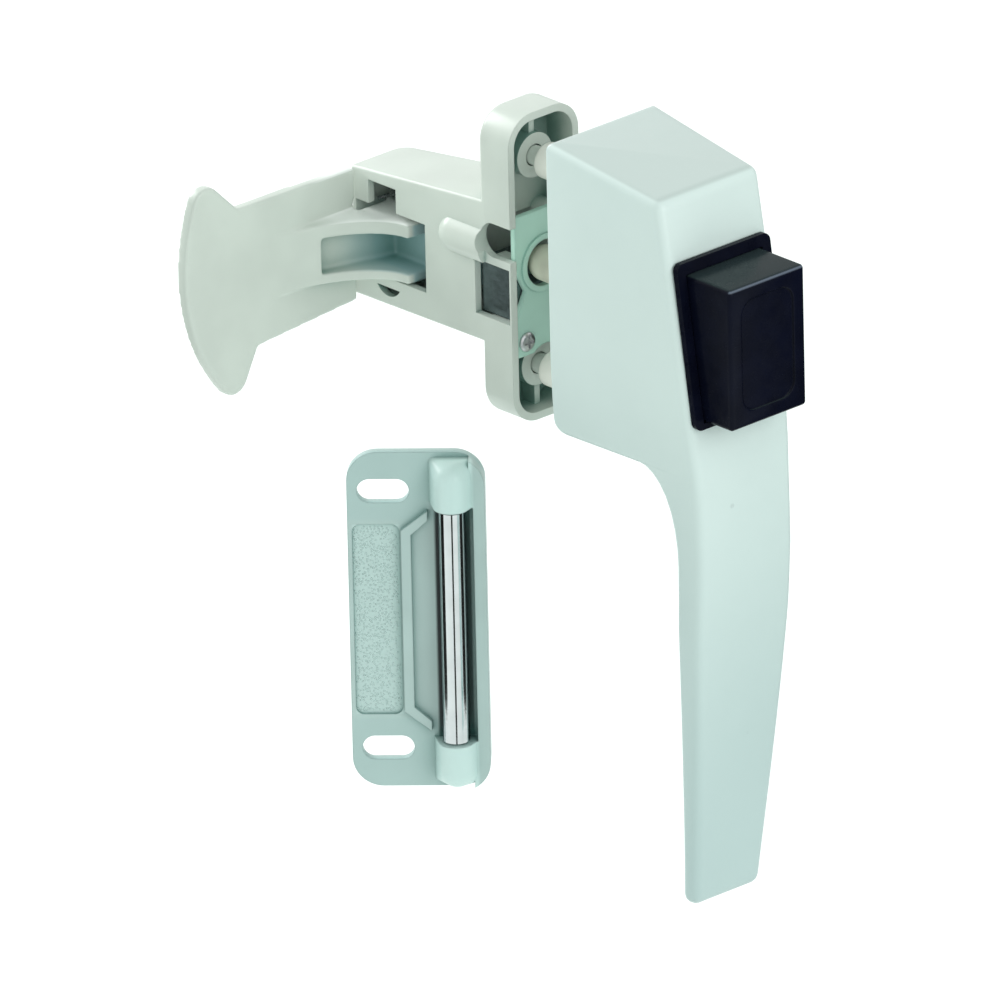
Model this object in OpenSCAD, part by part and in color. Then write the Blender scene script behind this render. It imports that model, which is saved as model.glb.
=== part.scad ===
// Pushbutton latch for a storm or screen door, in three groups: an outside pull handle with
// a push button, an inside latch with a lever, and a strike with a roller that stands apart.
// The origin is on the button's axis, in the plane where the outside handle meets the door.
// +X points to the door's closing edge, +Y into the room and +Z up.

/* [Door and posts] */
// Distance between the outside handle and the inside plate
door_gap = 16.5; // [15.5:0.5:20]
// Distance between the two screw posts
post_spacing = 44.45; // [43.5:0.05:46.5]
// Diameter of a screw post
post_d = 7.5; // [7:0.1:8]
// How far the posts stop short of the inside plate
post_short = 0.5; // [0.3:0.1:1.5]

/* [Outside handle] */
// Width of the head
head_w = 27.4; // [26.6:0.2:32]
// Depth of the head's top face
head_d = 32; // [30:0.5:36]
// Height of the head's back edge above the button's axis
head_rise = 34.8; // [33:0.2:40]
// Fall of the top face from its back edge to its front edge
head_slope = 4.8; // [2:0.2:6]
// Depth of the head's underside below the button's axis
head_under = 27; // [26.5:0.5:30]
// Angle at which the front of the head leans out on its way down
front_lean = 8.2; // [5:0.2:9]
// Depth of the head's underside, from the door to the start of the neck
under_d = 22; // [20:0.5:25]
// Depth of the neck's curve
neck_d = 10.8; // [9:0.2:12.6]
// Height of the neck's curve
neck_h = 20; // [16:0.5:24]
// Lowest point of the grip below the button's axis
grip_drop = 121.5; // [100:0.5:140]
// Width of the grip below the head
grip_w = 25.4; // [22:0.2:26.6]
// Width of the grip at its end
grip_end_w = 17.6; // [14:0.2:22]
// Thickness of the grip below the neck
grip_t = 7.6; // [6:0.1:9]
// Thickness of the grip at its end
grip_end_t = 4; // [3:0.1:5]
// How far the grip's end comes back towards the door
grip_bow = 4; // [2:0.2:6]
// How much wider the head is at the door, on each side
head_draft = 1; // [0:0.1:1.4]
// Wall of the castings
cast_wall = 2.2; // [1.8:0.1:2.4]
// Rounding of the handle's edges
edge_r = 1.9; // [1:0.1:2.4]

/* [Push button] */
// Width of the push button
button_w = 20.4; // [18:0.2:20.8]
// Height of the push button
button_h = 30; // [26:0.2:30.6]
// Distance from the door to the button's front face
button_out = 47.5; // [46:0.5:52]
// Travel of the push button
button_travel = 7; // [5:0.5:7.5]
// Wall of the button's hollow skirt
button_wall = 1.8; // [1.4:0.1:2.2]
// Rounding of the button's edges
button_edge = 0.9; // [0.5:0.1:1.4]
// Depth of the finger hollow in the button's face
hollow_depth = 0.4; // [0.2:0.1:0.8]
// Border between the finger hollow and the button's edge
hollow_border = 3.2; // [2.6:0.2:5]
// Thickness of the bezel on the head
bezel_t = 1.2; // [0.8:0.1:1.6]
// Width of the bezel's border at the sides
bezel_side = 2.4; // [1.6:0.1:2.6]
// Width of the bezel's border above the button
bezel_above = 2.6; // [1.6:0.2:4]
// Width of the bezel's border below the button
bezel_below = 1.4; // [1.2:0.2:3]
// Thickness of the bezel's lip in the head's opening
lip_t = 0.6; // [0.5:0.1:0.7]
// Diameter of the plunger
plunger_d = 7.4; // [6.8:0.1:7.6]
// Wire of the button's spring
spring_wire = 0.9; // [0.7:0.1:1.1]
// Turns of the button's spring
spring_turns = 7; // [5:1:9]

/* [Guide plate in the head] */
// Thickness of the guide plate
guide_t = 1.6; // [1.2:0.1:2]
// Depth of the guide plate's outer face below the head's back edge
guide_sink = 1.7; // [1.6:0.1:2.5]
// Distance of a guide screw from the button's axis, along X
guide_screw_x = 7.9; // [7.6:0.1:8]
// Distance of a guide screw from the button's axis, along Z
guide_screw_z = 20.2; // [19.8:0.1:20.6]
// Diameter of a guide screw
guide_screw_d = 2.5; // [2:0.1:2.8]

/* [Inside plate] */
// Width of the inside plate
plate_w = 19; // [18.6:0.2:22]
// Height of the inside plate
plate_h = 65.6; // [63:0.2:72]
// Depth of the inside plate
plate_d = 9; // [8.6:0.2:10]
// Corner radius of the inside plate
plate_r = 6.5; // [4:0.5:8]
// Wall of the inside plate and case
plate_wall = 1.6; // [1.3:0.1:1.8]
// Diameter of the hollow bosses round the screws
boss_d = 9.4; // [8.6:0.2:10]
// Thickness of the cover over the bolt
cover_t = 1.2; // [1:0.1:1.4]
// Height of the cover over the bolt
cover_h = 30; // [29:0.5:31]
// Diameter of a cover screw
cover_screw_d = 2.2; // [2:0.1:2.5]

/* [Case] */
// Distance from the plate to the case's far end
case_len = 37.5; // [36:0.5:42]
// Width of the case at its far end
case_end_w = 15.4; // [15:0.2:17]
// Top of the case at the plate, above the button's axis
case_top = 13.8; // [12.8:0.2:14.6]
// Top of the case at its far end, above the button's axis
case_end_top = 10.6; // [10:0.1:11.4]
// Bottom of the case, below the button's axis
case_bottom = 16.6; // [16.2:0.2:18]
// Radius of the case's far right corner
case_corner_r = 4; // [2:0.5:5]

/* [Lever] */
// Distance from the case's far end to the lever's pivot
pivot_back = 6.2; // [6:0.1:7]
// Diameter of the lever's pivot pin
pivot_d = 3; // [2.6:0.1:3.4]
// Diameter of the lever's hub
hub_d = 8; // [7.4:0.1:8.1]
// Top of the lever's hub above the button's axis
hub_top = 2.4; // [2.2:0.1:2.8]
// Bottom of the lever's hub below the button's axis
hub_bottom = 10.4; // [9.8:0.1:10.5]
// Distance from the case's side to the middle of the lever's neck
lever_len = 30; // [27:0.5:34]
// Height of the lever's body at the case
lever_h = 28.2; // [26:0.2:29]
// Height of the lever's body at its neck
neck_w = 30.6; // [28:0.2:32]
// Length of the fishtail beyond the neck
tail_len = 16.8; // [15:0.2:20]
// Height of the fishtail's upper tip above the button's axis
tail_up = 17.8; // [16:0.2:19]
// Depth of the fishtail's lower tip below the button's axis
tail_down = 28.2; // [26:0.2:30]
// Radius of the fishtail's long edge
tail_r = 42; // [38:1:48]
// Radius of the fishtail's tips
tip_r = 3.6; // [2.8:0.2:4]
// Thickness of the lever's plate
lever_t = 2.4; // [2:0.1:2.8]
// Length of the horns' curved edge, along the lever's plate
horn_len = 26; // [22:0.5:27]
// Depth of the horns' curved edge, from the lever's plate
horn_d = 14.8; // [14:0.2:15.6]
// Height of the upper horn
horn_t = 3; // [2.4:0.1:3.4]
// Height of the lower horn
horn_low_t = 2.2; // [2:0.1:2.6]
// Distance from the case's side to the start of the pocket between the horns
pocket_x = 12.4; // [11:0.2:13]
// Diameter of the finger that moves the bolt
finger_d = 4; // [3.6:0.1:4.2]
// Wire of the lever's spring
lever_wire = 0.8; // [0.6:0.1:0.9]

/* [Bolt] */
// Reach of the bolt's nose beyond the plate's side
bolt_reach = 9.5; // [8.5:0.5:11]
// Height of the bolt
bolt_h = 11.4; // [11:0.1:11.6]
// Thickness of the bolt
bolt_t = 5; // [4.4:0.1:5.2]

/* [Screws through the door] */
// Diameter of a mounting screw
screw_d = 4.1; // [3.5:0.1:4.4]
// Diameter of a mounting screw's head
screw_head_d = 7.8; // [7:0.2:8.2]
// Height of a mounting screw's head
screw_head_h = 2.5; // [2:0.1:3]
// Depth to which a mounting screw enters its post
screw_grip = 19; // [14:0.5:22]

/* [Strike] */
// Width of the strike
strike_w = 27.6; // [27:0.2:30]
// Height of the strike
strike_h = 72; // [70:0.2:78]
// Thickness of the strike's plate
strike_t = 2; // [1.6:0.1:2.4]
// Distance between the centres of the strike's two slots
slot_spacing = 55.4; // [54:0.2:58]
// Length of a slot
slot_len = 10.4; // [9:0.2:11]
// Width of a slot
slot_w = 5.1; // [4.6:0.1:5.4]
// Distance from the strike's left edge to a slot
slot_edge = 2; // [1.6:0.1:2.4]
// Diameter of the roller
roller_d = 5.4; // [5:0.1:5.8]
// Length of the roller
roller_len = 49.4; // [46:0.2:50]
// Distance from the strike's left edge to the roller's axis
roller_x = 20.9; // [20.6:0.1:21.2]
// Height of the roller's axis above the strike's back
roller_rise = 5; // [5:0.1:5.8]
// Diameter of the roller's pin
roller_pin_d = 2.4; // [2:0.1:2.8]
// Angle at which the strike faces the front left
strike_yaw = 45; // [0:5:90]

/* [Hidden] */

// Clearances: a shaft in its hole, a part that slides, and parts that only pass each other
run_gap = 0.05;
slide_gap = 0.15;
pass_gap = 0.3;
// Overlap of a cut past the face that it opens
cut = 1;

// Handle: heights where its front and width start and stop to change
front_top_z = head_rise - head_slope;
belly_top_z = -20;
neck_end_z = neck_h * -1 - head_under;
shoulder_z = -12;
waist_z = neck_end_z + 12;
taper_z = neck_end_z - 13;
back_d = under_d + neck_d;
back_edge = 0.4;
post_base_d = post_d + 1.6;
post_base_y = -1;

// Button and bezel
opening_w = button_w + 2 * (slide_gap + lip_t + run_gap);
opening_h = button_h + 2 * (slide_gap + lip_t + run_gap);
cavity_w = head_w - 2 * cast_wall;
flange_w = cavity_w - 2 * slide_gap;
flange_h = opening_h + 1.2;
flange_t = 1.6;
skirt_y = -(front_d(flange_h / 2) - cast_wall - slide_gap - flange_t);
button_boss_d = plunger_d + 4;
button_boss_y = skirt_y + 2;
plunger_in_button = 9;
guide_y = -guide_sink - guide_t;
guide_low_z = -(head_under - cast_wall) + slide_gap;
guide_high_z = post_spacing / 2 + 5.8;
ledge_w = 0.9;
guide_boss_d = guide_screw_d + 2.4;
guide_screw_len = 9;
spring_d = plunger_d + 2 * (spring_wire + 0.6);

// Inside plate, case and bolt
plate_back_y = door_gap + plate_d;
floor_y = plate_back_y - plate_wall;
case_left = -plate_w / 2;
case_right = plate_w / 2;
case_in_left = case_left + plate_wall;
case_end_x = case_left + case_end_w;
case_end_y = plate_back_y + case_len;
case_in_y = case_end_y - plate_wall;
case_end_bottom = case_bottom + 0.4;
case_in_top = case_end_top - plate_wall;
case_in_bottom = case_bottom - plate_wall;
cover_y = door_gap + 0.5;
cover_back_y = cover_y + cover_t;
cover_w = plate_w - 2 * plate_wall - 2 * slide_gap;
cover_mid_z = -3.6;
cover_hole_d = plunger_d + 2.4;
cover_screw_x = 5.2;
cover_boss_d = cover_screw_d + 2.4;
arch_r = 3.6;
arch_z = 6;
arch_y = door_gap + 5;
slot_top_z = -12.9;
bolt_y = cover_back_y + slide_gap;
bolt_top_z = 0.6;
bolt_low_z = bolt_top_z - bolt_h;
bolt_bar_top_z = -plunger_d / 2 - 0.6;
bolt_left_x = case_in_left + pass_gap;
bolt_nose_x = case_right + bolt_reach;
// The nose of the plunger is a half ball, and the ramp on the bolt stands pass_gap off it
nose_y = cover_y - 0.6;
ramp_off = (plunger_d / 2 + pass_gap) * sqrt(2);
cam_end_y = nose_y + ramp_off / 2 + button_travel + 0.6;

// Lever
pivot_y = case_end_y - pivot_back;
finger_y = cam_end_y - finger_d / 2 - 1;
arm_r = pivot_y - finger_y;
lever_swing = 2 * asin(button_travel / 2 / arm_r);
finger_x = 3;
pivot_x = finger_x - button_travel / 2;
lever_back_y = case_end_y;
lever_front_y = lever_back_y - lever_t;
lever_right_x = case_left - 1.5;
lever_neck_x = case_left - lever_len;
lever_top_z = case_end_top;
neck_top_z = lever_top_z + 0.4;
neck_skew = 2.2;
tail_left_x = lever_neck_x - tail_len;
horn_end_y = lever_front_y - horn_d;
horn_left_x = case_left - 0.6;
pocket_left_x = case_left - pocket_x;
window_y = horn_end_y - 4.4;
window_top_z = hub_top + 1.3;
window_low_z = -hub_bottom - 0.5;
horn_back_y = case_in_y - 2.2;
arm_top_z = bolt_bar_top_z - 0.2;

// Strike
strike_r = 6.2;
strike_at = [-19.3, 35, -75.5];
shelf_x = 17;
house_h = 8.2;
roller_gap = 0.5;

// Depth of the handle's front, back and half width at a height
function blend(a, b, t) = a + (b - a) * t;
function soft(t) = t * t * (3 - 2 * t);
function clamp(t) = min(1, max(0, t));
function lean_d(z) = head_d + (front_top_z - z) * tan(front_lean);
function back_of(z) = z >= neck_end_z
    ? (z >= -head_under ? 0 : under_d + neck_d * sqrt(1 - pow(1 - (-head_under - z) / neck_h, 2)))
    : back_d - grip_bow * pow((neck_end_z - z) / (neck_end_z + grip_drop), 1.5);
function thick_of(z) = blend(grip_t, grip_end_t, clamp((neck_end_z - z) / (neck_end_z + grip_drop)));
function hermite(t, a, b, ma, mb) = (2 * t * t * t - 3 * t * t + 1) * a + (t * t * t - 2 * t * t + t) * ma
    + (3 * t * t - 2 * t * t * t) * b + (t * t * t - t * t) * mb;
function front_d(z) = z >= belly_top_z ? lean_d(z)
    : z >= neck_end_z ? hermite((belly_top_z - z) / (belly_top_z - neck_end_z), lean_d(belly_top_z),
          back_d + grip_t, (belly_top_z - neck_end_z) * tan(front_lean), 0)
    : back_of(z) + thick_of(z);
function half_w(z) = z >= waist_z
    ? blend(head_w, grip_w, soft(clamp((shoulder_z - z) / (shoulder_z - waist_z)))) / 2
    : blend(grip_w, grip_end_w, pow(clamp((taper_z - z) / (taper_z + grip_drop)), 1.1)) / 2;

// One round corner: centre, radius, first angle and number of steps
function corner(cx, cy, r, from, steps) = [for (i = [0:steps])
    [cx + r * cos(from + 90 * i / steps), cy + r * sin(from + 90 * i / steps)]];
// Points of an arc: centre, radius, first and last angle, and number of steps
function arc(cx, cy, r, from, to, steps) = [for (i = [0:steps])
    let (a = blend(from, to, i / steps)) [cx + r * cos(a), cy + r * sin(a)]];
// Outline of a section: half width, back and front depth, and their corner radii
function outline(hw, back, front, rb, rf, steps) =
    let (bw = hw + head_draft * clamp(1 - back / head_d))
    concat(corner(bw - rb, -back - rb, rb, 0, steps), corner(-bw + rb, -back - rb, rb, 90, steps),
    corner(-hw + rf, -front + rf, rf, 180, steps), corner(hw - rf, -front + rf, rf, 270, steps));
// A ring of the handle's skin, drawn in by inset and tilted like the top face
function ring(z, back, inset, tilt) =
    let (front = front_d(z) - inset, b = back + inset, hw = half_w(z) - inset)
    let (r = max(0.25, min(edge_r, (front_d(z) - back) * 0.42) - inset))
    let (rb = back < 0.01 ? back_edge : min(r, back_edge + back * 0.3))
    [for (p = outline(hw, b, front, rb, r, 5)) [p[0], p[1], z + tilt * p[1]]];
function skin_faces(rings, n) = concat(
    [[for (i = [n - 1:-1:0]) i]],
    [for (k = [0:rings - 2], i = [0:n - 1]) [k * n + i, k * n + (i + 1) % n, (k + 1) * n + i]],
    [for (k = [0:rings - 2], i = [0:n - 1])
        [(k + 1) * n + i, k * n + (i + 1) % n, (k + 1) * n + (i + 1) % n]],
    [[for (i = [0:n - 1]) (rings - 1) * n + i]]);

// A solid through a list of rings that all have the same number of points
module skin(rings) {
    n = len(rings[0]);
    polyhedron([for (r = rings, p = r) p], skin_faces(len(rings), n), convexity = 8);
}

// A round wire along a list of points, as a closed tube with eight sides
function unit(v) = v / norm(v);
function tube_ring(a, b, up, r) =
    let (t = unit(b - a), s = unit(cross(t, up)), u = cross(s, t))
    [for (i = [0:7]) s * r * cos(45 * i) + u * r * sin(45 * i)];
module wire(path, up, r) {
    last = len(path) - 1;
    skin([for (k = [0:last])
        let (a = path[max(0, k - 1)], b = path[min(last, k + 1)])
        [for (q = tube_ring(a, b, up, r)) path[k] + q]]);
}

module box(x, y, z) {
    translate([x[0], y[0], z[0]])
        cube([x[1] - x[0], y[1] - y[0], z[1] - z[0]]);
}

module rod_y(x, z, y0, y1, d) {
    translate([x, y0, z])
        rotate([-90, 0, 0])
        cylinder(d = d, h = y1 - y0, $fn = 64);
}

module rod_z(x, y, z0, z1, d) {
    translate([x, y, z0])
        cylinder(d = d, h = z1 - z0, $fn = 64);
}

module rod_x(y, z, x0, x1, d) {
    translate([x0, y, z])
        rotate([0, 90, 0])
        cylinder(d = d, h = x1 - x0, $fn = 64);
}

// A rectangle with round corners, in the plane of the sketch
module round_rect(w, h, r) {
    square([w - 2 * r, h], center = true);
    square([w, h - 2 * r], center = true);
    for (sx = [-1, 1], sy = [-1, 1])
        translate([sx * (w / 2 - r), sy * (h / 2 - r)]) circle(r = r, $fn = 64);
}

// A side profile, given as depth and height, extruded across the handle
module across(w) {
    translate([-w / 2, 0, 0])
        rotate([90, 0, 90])
        linear_extrude(w) children();
}

// A sketch in X and Z, extruded from y0 to y1
module upright(y0, y1) {
    translate([0, y1, 0])
        rotate([90, 0, 0])
        linear_extrude(y1 - y0) children();
}

// The handle's outer form, from the rounded top edge down to the rounded end of the grip
module handle_form() {
    tilt = head_slope / head_d;
    top_rings = [for (i = [0:4])
        let (a = 90 * i / 4, r = edge_r)
        ring(head_rise - r * (1 - cos(a)), 0, r * (1 - sin(a)), tilt)];
    head_rings = [ring(head_rise / 2, 0, 0, tilt / 2), ring(shoulder_z, 0, 0, 0),
        ring(-20, 0, 0, 0), ring(-head_under + 2.5, 0, 0, 0)];
    under_rings = [for (a = [22.5, 45, 67.5, 88])
        ring(-head_under + 2.5 * (1 - sin(a)), 2.5 * (1 - cos(a)), 0, 0)];
    neck_rings = [for (a = [0:11.25:90])
        ring(-head_under - neck_h * (1 - cos(a)), under_d + neck_d * sin(a), 0, 0)];
    steps = 11;
    grip_rings = [for (i = [1:steps])
        let (z = blend(neck_end_z, -grip_drop + grip_end_t / 2, i / steps))
        ring(z, back_of(z), 0, 0)];
    end_rings = [for (a = [30, 60, 85])
        let (r = grip_end_t / 2, z = -grip_drop + r * (1 - sin(a)))
        ring(z, back_of(z), r * 0.8 * (1 - cos(a)), 0)];
    skin([for (r = concat(top_rings, head_rings, under_rings, neck_rings, grip_rings, end_rings)) r]);
}

// The hollow of the head, open to the door
module head_cavity() {
    zt = front_top_z - cast_wall;
    zb = -(head_under - cast_wall);
    across(cavity_w)
        polygon([[cut, head_rise - cast_wall], [-(lean_d(zt) - cast_wall), zt],
            [-(lean_d(belly_top_z) - cast_wall), belly_top_z],
            [-(front_d(zb) - cast_wall), zb], [cut, zb]]);
}

// The shallow channel in the back of the grip
module grip_channel() {
    skin([for (i = [0:10])
        let (z = blend(neck_end_z + 4, -grip_drop + 7, i / 10))
        let (hw = half_w(z) - 1.9, front = front_d(z) - 1.7)
        [for (p = outline(hw, back_of(z) - cut, front, 0.4, 0.5, 2)) [p[0], p[1], z]]]);
}

module post(z) {
    end = door_gap - post_short;
    depth = lean_d(z) - cast_wall - 0.2;
    rod_y(0, z, -depth, post_base_y, post_base_d);
    rod_y(0, z, post_base_y - cut, end - 0.8, post_d);
    translate([0, end - 0.8, z])
        rotate([-90, 0, 0])
        cylinder(d1 = post_d, d2 = post_d - 1.6, h = 0.8, $fn = 64);
}

module handle() {
    color([0.86, 0.9, 0.87])
        difference() {
            union() {
                difference() {
                    handle_form();
                    head_cavity();
                }
                for (z = [-1, 1]) post(z * post_spacing / 2);
                for (s = [-1, 1])
                    rod_y(s * guide_screw_x, s * guide_screw_z,
                        -(lean_d(s * guide_screw_z) - cast_wall - 0.2), guide_y, guide_boss_d);
                intersection() {
                    head_cavity();
                    box([-1, 1], [-head_d, -4], [post_spacing / 2, head_rise]);
                }
            }
            grip_channel();
            box([-opening_w / 2, opening_w / 2], [-button_out, -(head_d - cast_wall - 4)],
                [-opening_h / 2, opening_h / 2]);
            difference() {
                box([-cavity_w / 2 - ledge_w, cavity_w / 2 + ledge_w], [guide_y, cut],
                    [guide_low_z - slide_gap, guide_high_z + slide_gap]);
                for (z = [-1, 1]) {
                    rod_y(0, z * post_spacing / 2, guide_y - cut, post_base_y, post_base_d);
                    rod_y(0, z * post_spacing / 2, post_base_y - cut, 2 * cut, post_d);
                }
            }
            for (z = [-1, 1])
                rod_y(0, z * post_spacing / 2, door_gap - post_short - screw_grip - 2,
                    door_gap, screw_d + 2 * run_gap);
            for (s = [-1, 1])
                rod_y(s * guide_screw_x, s * guide_screw_z, guide_y - guide_screw_len,
                    guide_y + cut, guide_screw_d + 2 * run_gap);
        }
}

// The button's outer block with its rounded front edges
module button_block() {
    e = button_edge;
    hull() {
        for (sx = [-1, 1], sz = [-1, 1]) {
            translate([sx * (button_w / 2 - e), -button_out + e, sz * (button_h / 2 - e)])
                sphere(r = e, $fn = 24);
            translate([sx * (button_w / 2 - e), skirt_y - 0.01, sz * (button_h / 2 - e)])
                rotate([-90, 0, 0])
                cylinder(r = e, h = 0.01, $fn = 24);
        }
    }
}

module push_button() {
    fw = flange_h / 2;
    off = cast_wall + slide_gap;
    color([0.06, 0.06, 0.09])
        difference() {
            union() {
                difference() {
                    union() {
                        button_block();
                        across(flange_w)
                            polygon([[-lean_d(-fw) + off, -fw], [-lean_d(fw) + off, fw],
                                [-lean_d(fw) + off + flange_t, fw],
                                [-lean_d(-fw) + off + flange_t, -fw]]);
                    }
                    box([-button_w / 2 + button_wall, button_w / 2 - button_wall],
                        [-button_out + button_wall, 0],
                        [-button_h / 2 + button_wall, button_h / 2 - button_wall]);
                }
                rod_y(0, 0, -button_out + button_wall - 0.2, button_boss_y, button_boss_d);
                for (s = [-1, 1])
                    box([-0.7, 0.7], [-button_out + button_wall - 0.2, skirt_y - 2],
                        s > 0 ? [button_boss_d / 2 - 0.5, button_h / 2 - button_wall + 0.2]
                              : [-button_h / 2 + button_wall - 0.2, -button_boss_d / 2 + 0.5]);
            }
            rod_y(0, 0, button_boss_y - plunger_in_button, button_boss_y + cut,
                plunger_d + 2 * run_gap);
            upright(-button_out - cut, -button_out + hollow_depth)
                round_rect(button_w - 2 * hollow_border, button_h - 2 * hollow_border, 3.4);
        }
}

module button_bezel() {
    ow = button_w / 2 + bezel_side;
    top = button_h / 2 + bezel_above;
    low = -button_h / 2 - bezel_below;
    lip_w = opening_w - 2 * run_gap;
    lip_h = opening_h - 2 * run_gap;
    color([0.05, 0.05, 0.07])
        difference() {
            union() {
                intersection() {
                    across(2 * ow)
                        polygon([[-lean_d(low) - bezel_t, low], [-lean_d(low), low],
                            [-lean_d(top), top], [-lean_d(top) - bezel_t, top]]);
                    upright(-button_out, 0)
                        translate([0, (top + low) / 2]) round_rect(2 * ow, top - low, 1.6);
                }
                across(lip_w)
                    polygon([[-lean_d(-lip_h / 2) - 0.2, -lip_h / 2],
                        [-lean_d(lip_h / 2) - 0.2, lip_h / 2],
                        [-lean_d(lip_h / 2) + cast_wall, lip_h / 2],
                        [-lean_d(-lip_h / 2) + cast_wall, -lip_h / 2]]);
            }
            box([-button_w / 2 - slide_gap, button_w / 2 + slide_gap], [-button_out, 0],
                [-button_h / 2 - slide_gap, button_h / 2 + slide_gap]);
        }
}

module button_plunger() {
    color([0.9, 0.89, 0.82]) {
        rod_y(0, 0, button_boss_y - plunger_in_button + 0.2, nose_y, plunger_d);
        translate([0, nose_y, 0])
            rotate([-90, 0, 0])
            rotate_extrude($fn = 64)
            intersection() {
                circle(d = plunger_d, $fn = 64);
                square(plunger_d);
            }
    }
}

module button_spring() {
    y0 = button_boss_y + slide_gap + spring_wire / 2;
    y1 = guide_y - slide_gap - spring_wire / 2;
    mean = (spring_d - spring_wire) / 2;
    n = spring_turns * 14;
    color([0.7, 0.71, 0.73])
        wire([for (i = [0:n])
            let (a = 360 * i * spring_turns / n, t = i / n)
            let (y = y0 + (y1 - y0) * soft(t) * 0.25 + (y1 - y0) * t * 0.75)
            [mean * cos(a), y, mean * sin(a)]], [0, 1, 0], spring_wire / 2);
}

module guide_plate() {
    color([0.72, 0.73, 0.74])
        difference() {
            box([-cavity_w / 2 - ledge_w + slide_gap, cavity_w / 2 + ledge_w - slide_gap],
                [guide_y, guide_y + guide_t], [guide_low_z, guide_high_z]);
            rod_y(0, 0, guide_y - cut, cut, plunger_d + 2 * run_gap);
            for (z = [-1, 1])
                rod_y(0, z * post_spacing / 2, guide_y - cut, cut, post_base_d + 2 * slide_gap);
            for (s = [-1, 1])
                rod_y(s * guide_screw_x, s * guide_screw_z, guide_y - cut, cut,
                    guide_screw_d + 2 * slide_gap);
            box([-post_base_d / 2 - slide_gap, post_base_d / 2 + slide_gap], [guide_y - cut, cut],
                [guide_low_z - cut, -post_spacing / 2]);
        }
}

// A pan head screw along Y, with its head at y and its point towards the street
module pan_screw(x, z, y, d, head_d, head_h, length) {
    difference() {
        union() {
            rod_y(x, z, y - length, y + head_h * 0.4, d);
            translate([x, y, z])
                rotate([-90, 0, 0])
                rotate_extrude($fn = 64)
                polygon([[0, 0], [head_d / 2, 0], [head_d / 2, head_h * 0.45],
                    [head_d * 0.42, head_h * 0.8], [head_d * 0.28, head_h], [0, head_h]]);
        }
        for (a = [0, 90])
            translate([x, y + head_h, z])
                rotate([0, a, 0])
                cube([head_d * 0.62, head_h * 1.1, head_d * 0.15], center = true);
    }
}

module guide_screws() {
    color([0.72, 0.73, 0.74])
        for (s = [-1, 1])
            pan_screw(s * guide_screw_x, s * guide_screw_z, guide_y + guide_t, guide_screw_d,
                guide_screw_d * 1.8, guide_sink - 0.3, guide_t + guide_screw_len - 1);
}

// The inside plate: a round-cornered dish that is open to the door
module plate_form() {
    e = 1.4;
    r = plate_r;
    skin([for (q = concat([[door_gap, 0]],
            [for (a = [0:22.5:90]) [plate_back_y - e * (1 - sin(a)), e * (1 - cos(a))]]))
        let (x = plate_w / 2 - r, z = plate_h / 2 - r, k = r - q[1])
        [for (p = concat(corner(x, z, k, 0, 10), corner(-x, z, k, 90, 10),
                corner(-x, -z, k, 180, 10), corner(x, -z, k, 270, 10)))
            [p[0], q[0], p[1]]]]);
}

// The case behind the plate, tapered in height and rounded at its far right corner
module case_form() {
    e = 0.8;
    rc = case_corner_r;
    hull() {
        for (z = [case_end_top - e, -case_end_bottom + e]) {
            translate([case_left + e, case_end_y - e, z]) sphere(r = e, $fn = 20);
            translate([case_end_x - rc, case_end_y - rc, z])
                rotate_extrude($fn = 32)
                translate([rc - e, 0]) circle(r = e, $fn = 12);
        }
        for (x = [case_left + e, case_right - e], z = [case_top - e, -case_bottom + e])
            translate([x, plate_back_y - 2, z]) sphere(r = e, $fn = 20);
    }
}

// The raised half round on the case's side that clears the cover screw's boss
module side_bulge() {
    r = 4.3;
    z = 3.8;
    len = 12.4;
    x = case_left + r - 1.9;
    intersection() {
        union() {
            rod_y(x, z, plate_back_y - plate_wall, plate_back_y + len - r, 2 * r);
            translate([x, plate_back_y + len - r, z]) sphere(r = r, $fn = 48);
        }
        box([case_left - 3, case_left + plate_wall], [0, case_end_y], [-20, 20]);
    }
}

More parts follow.
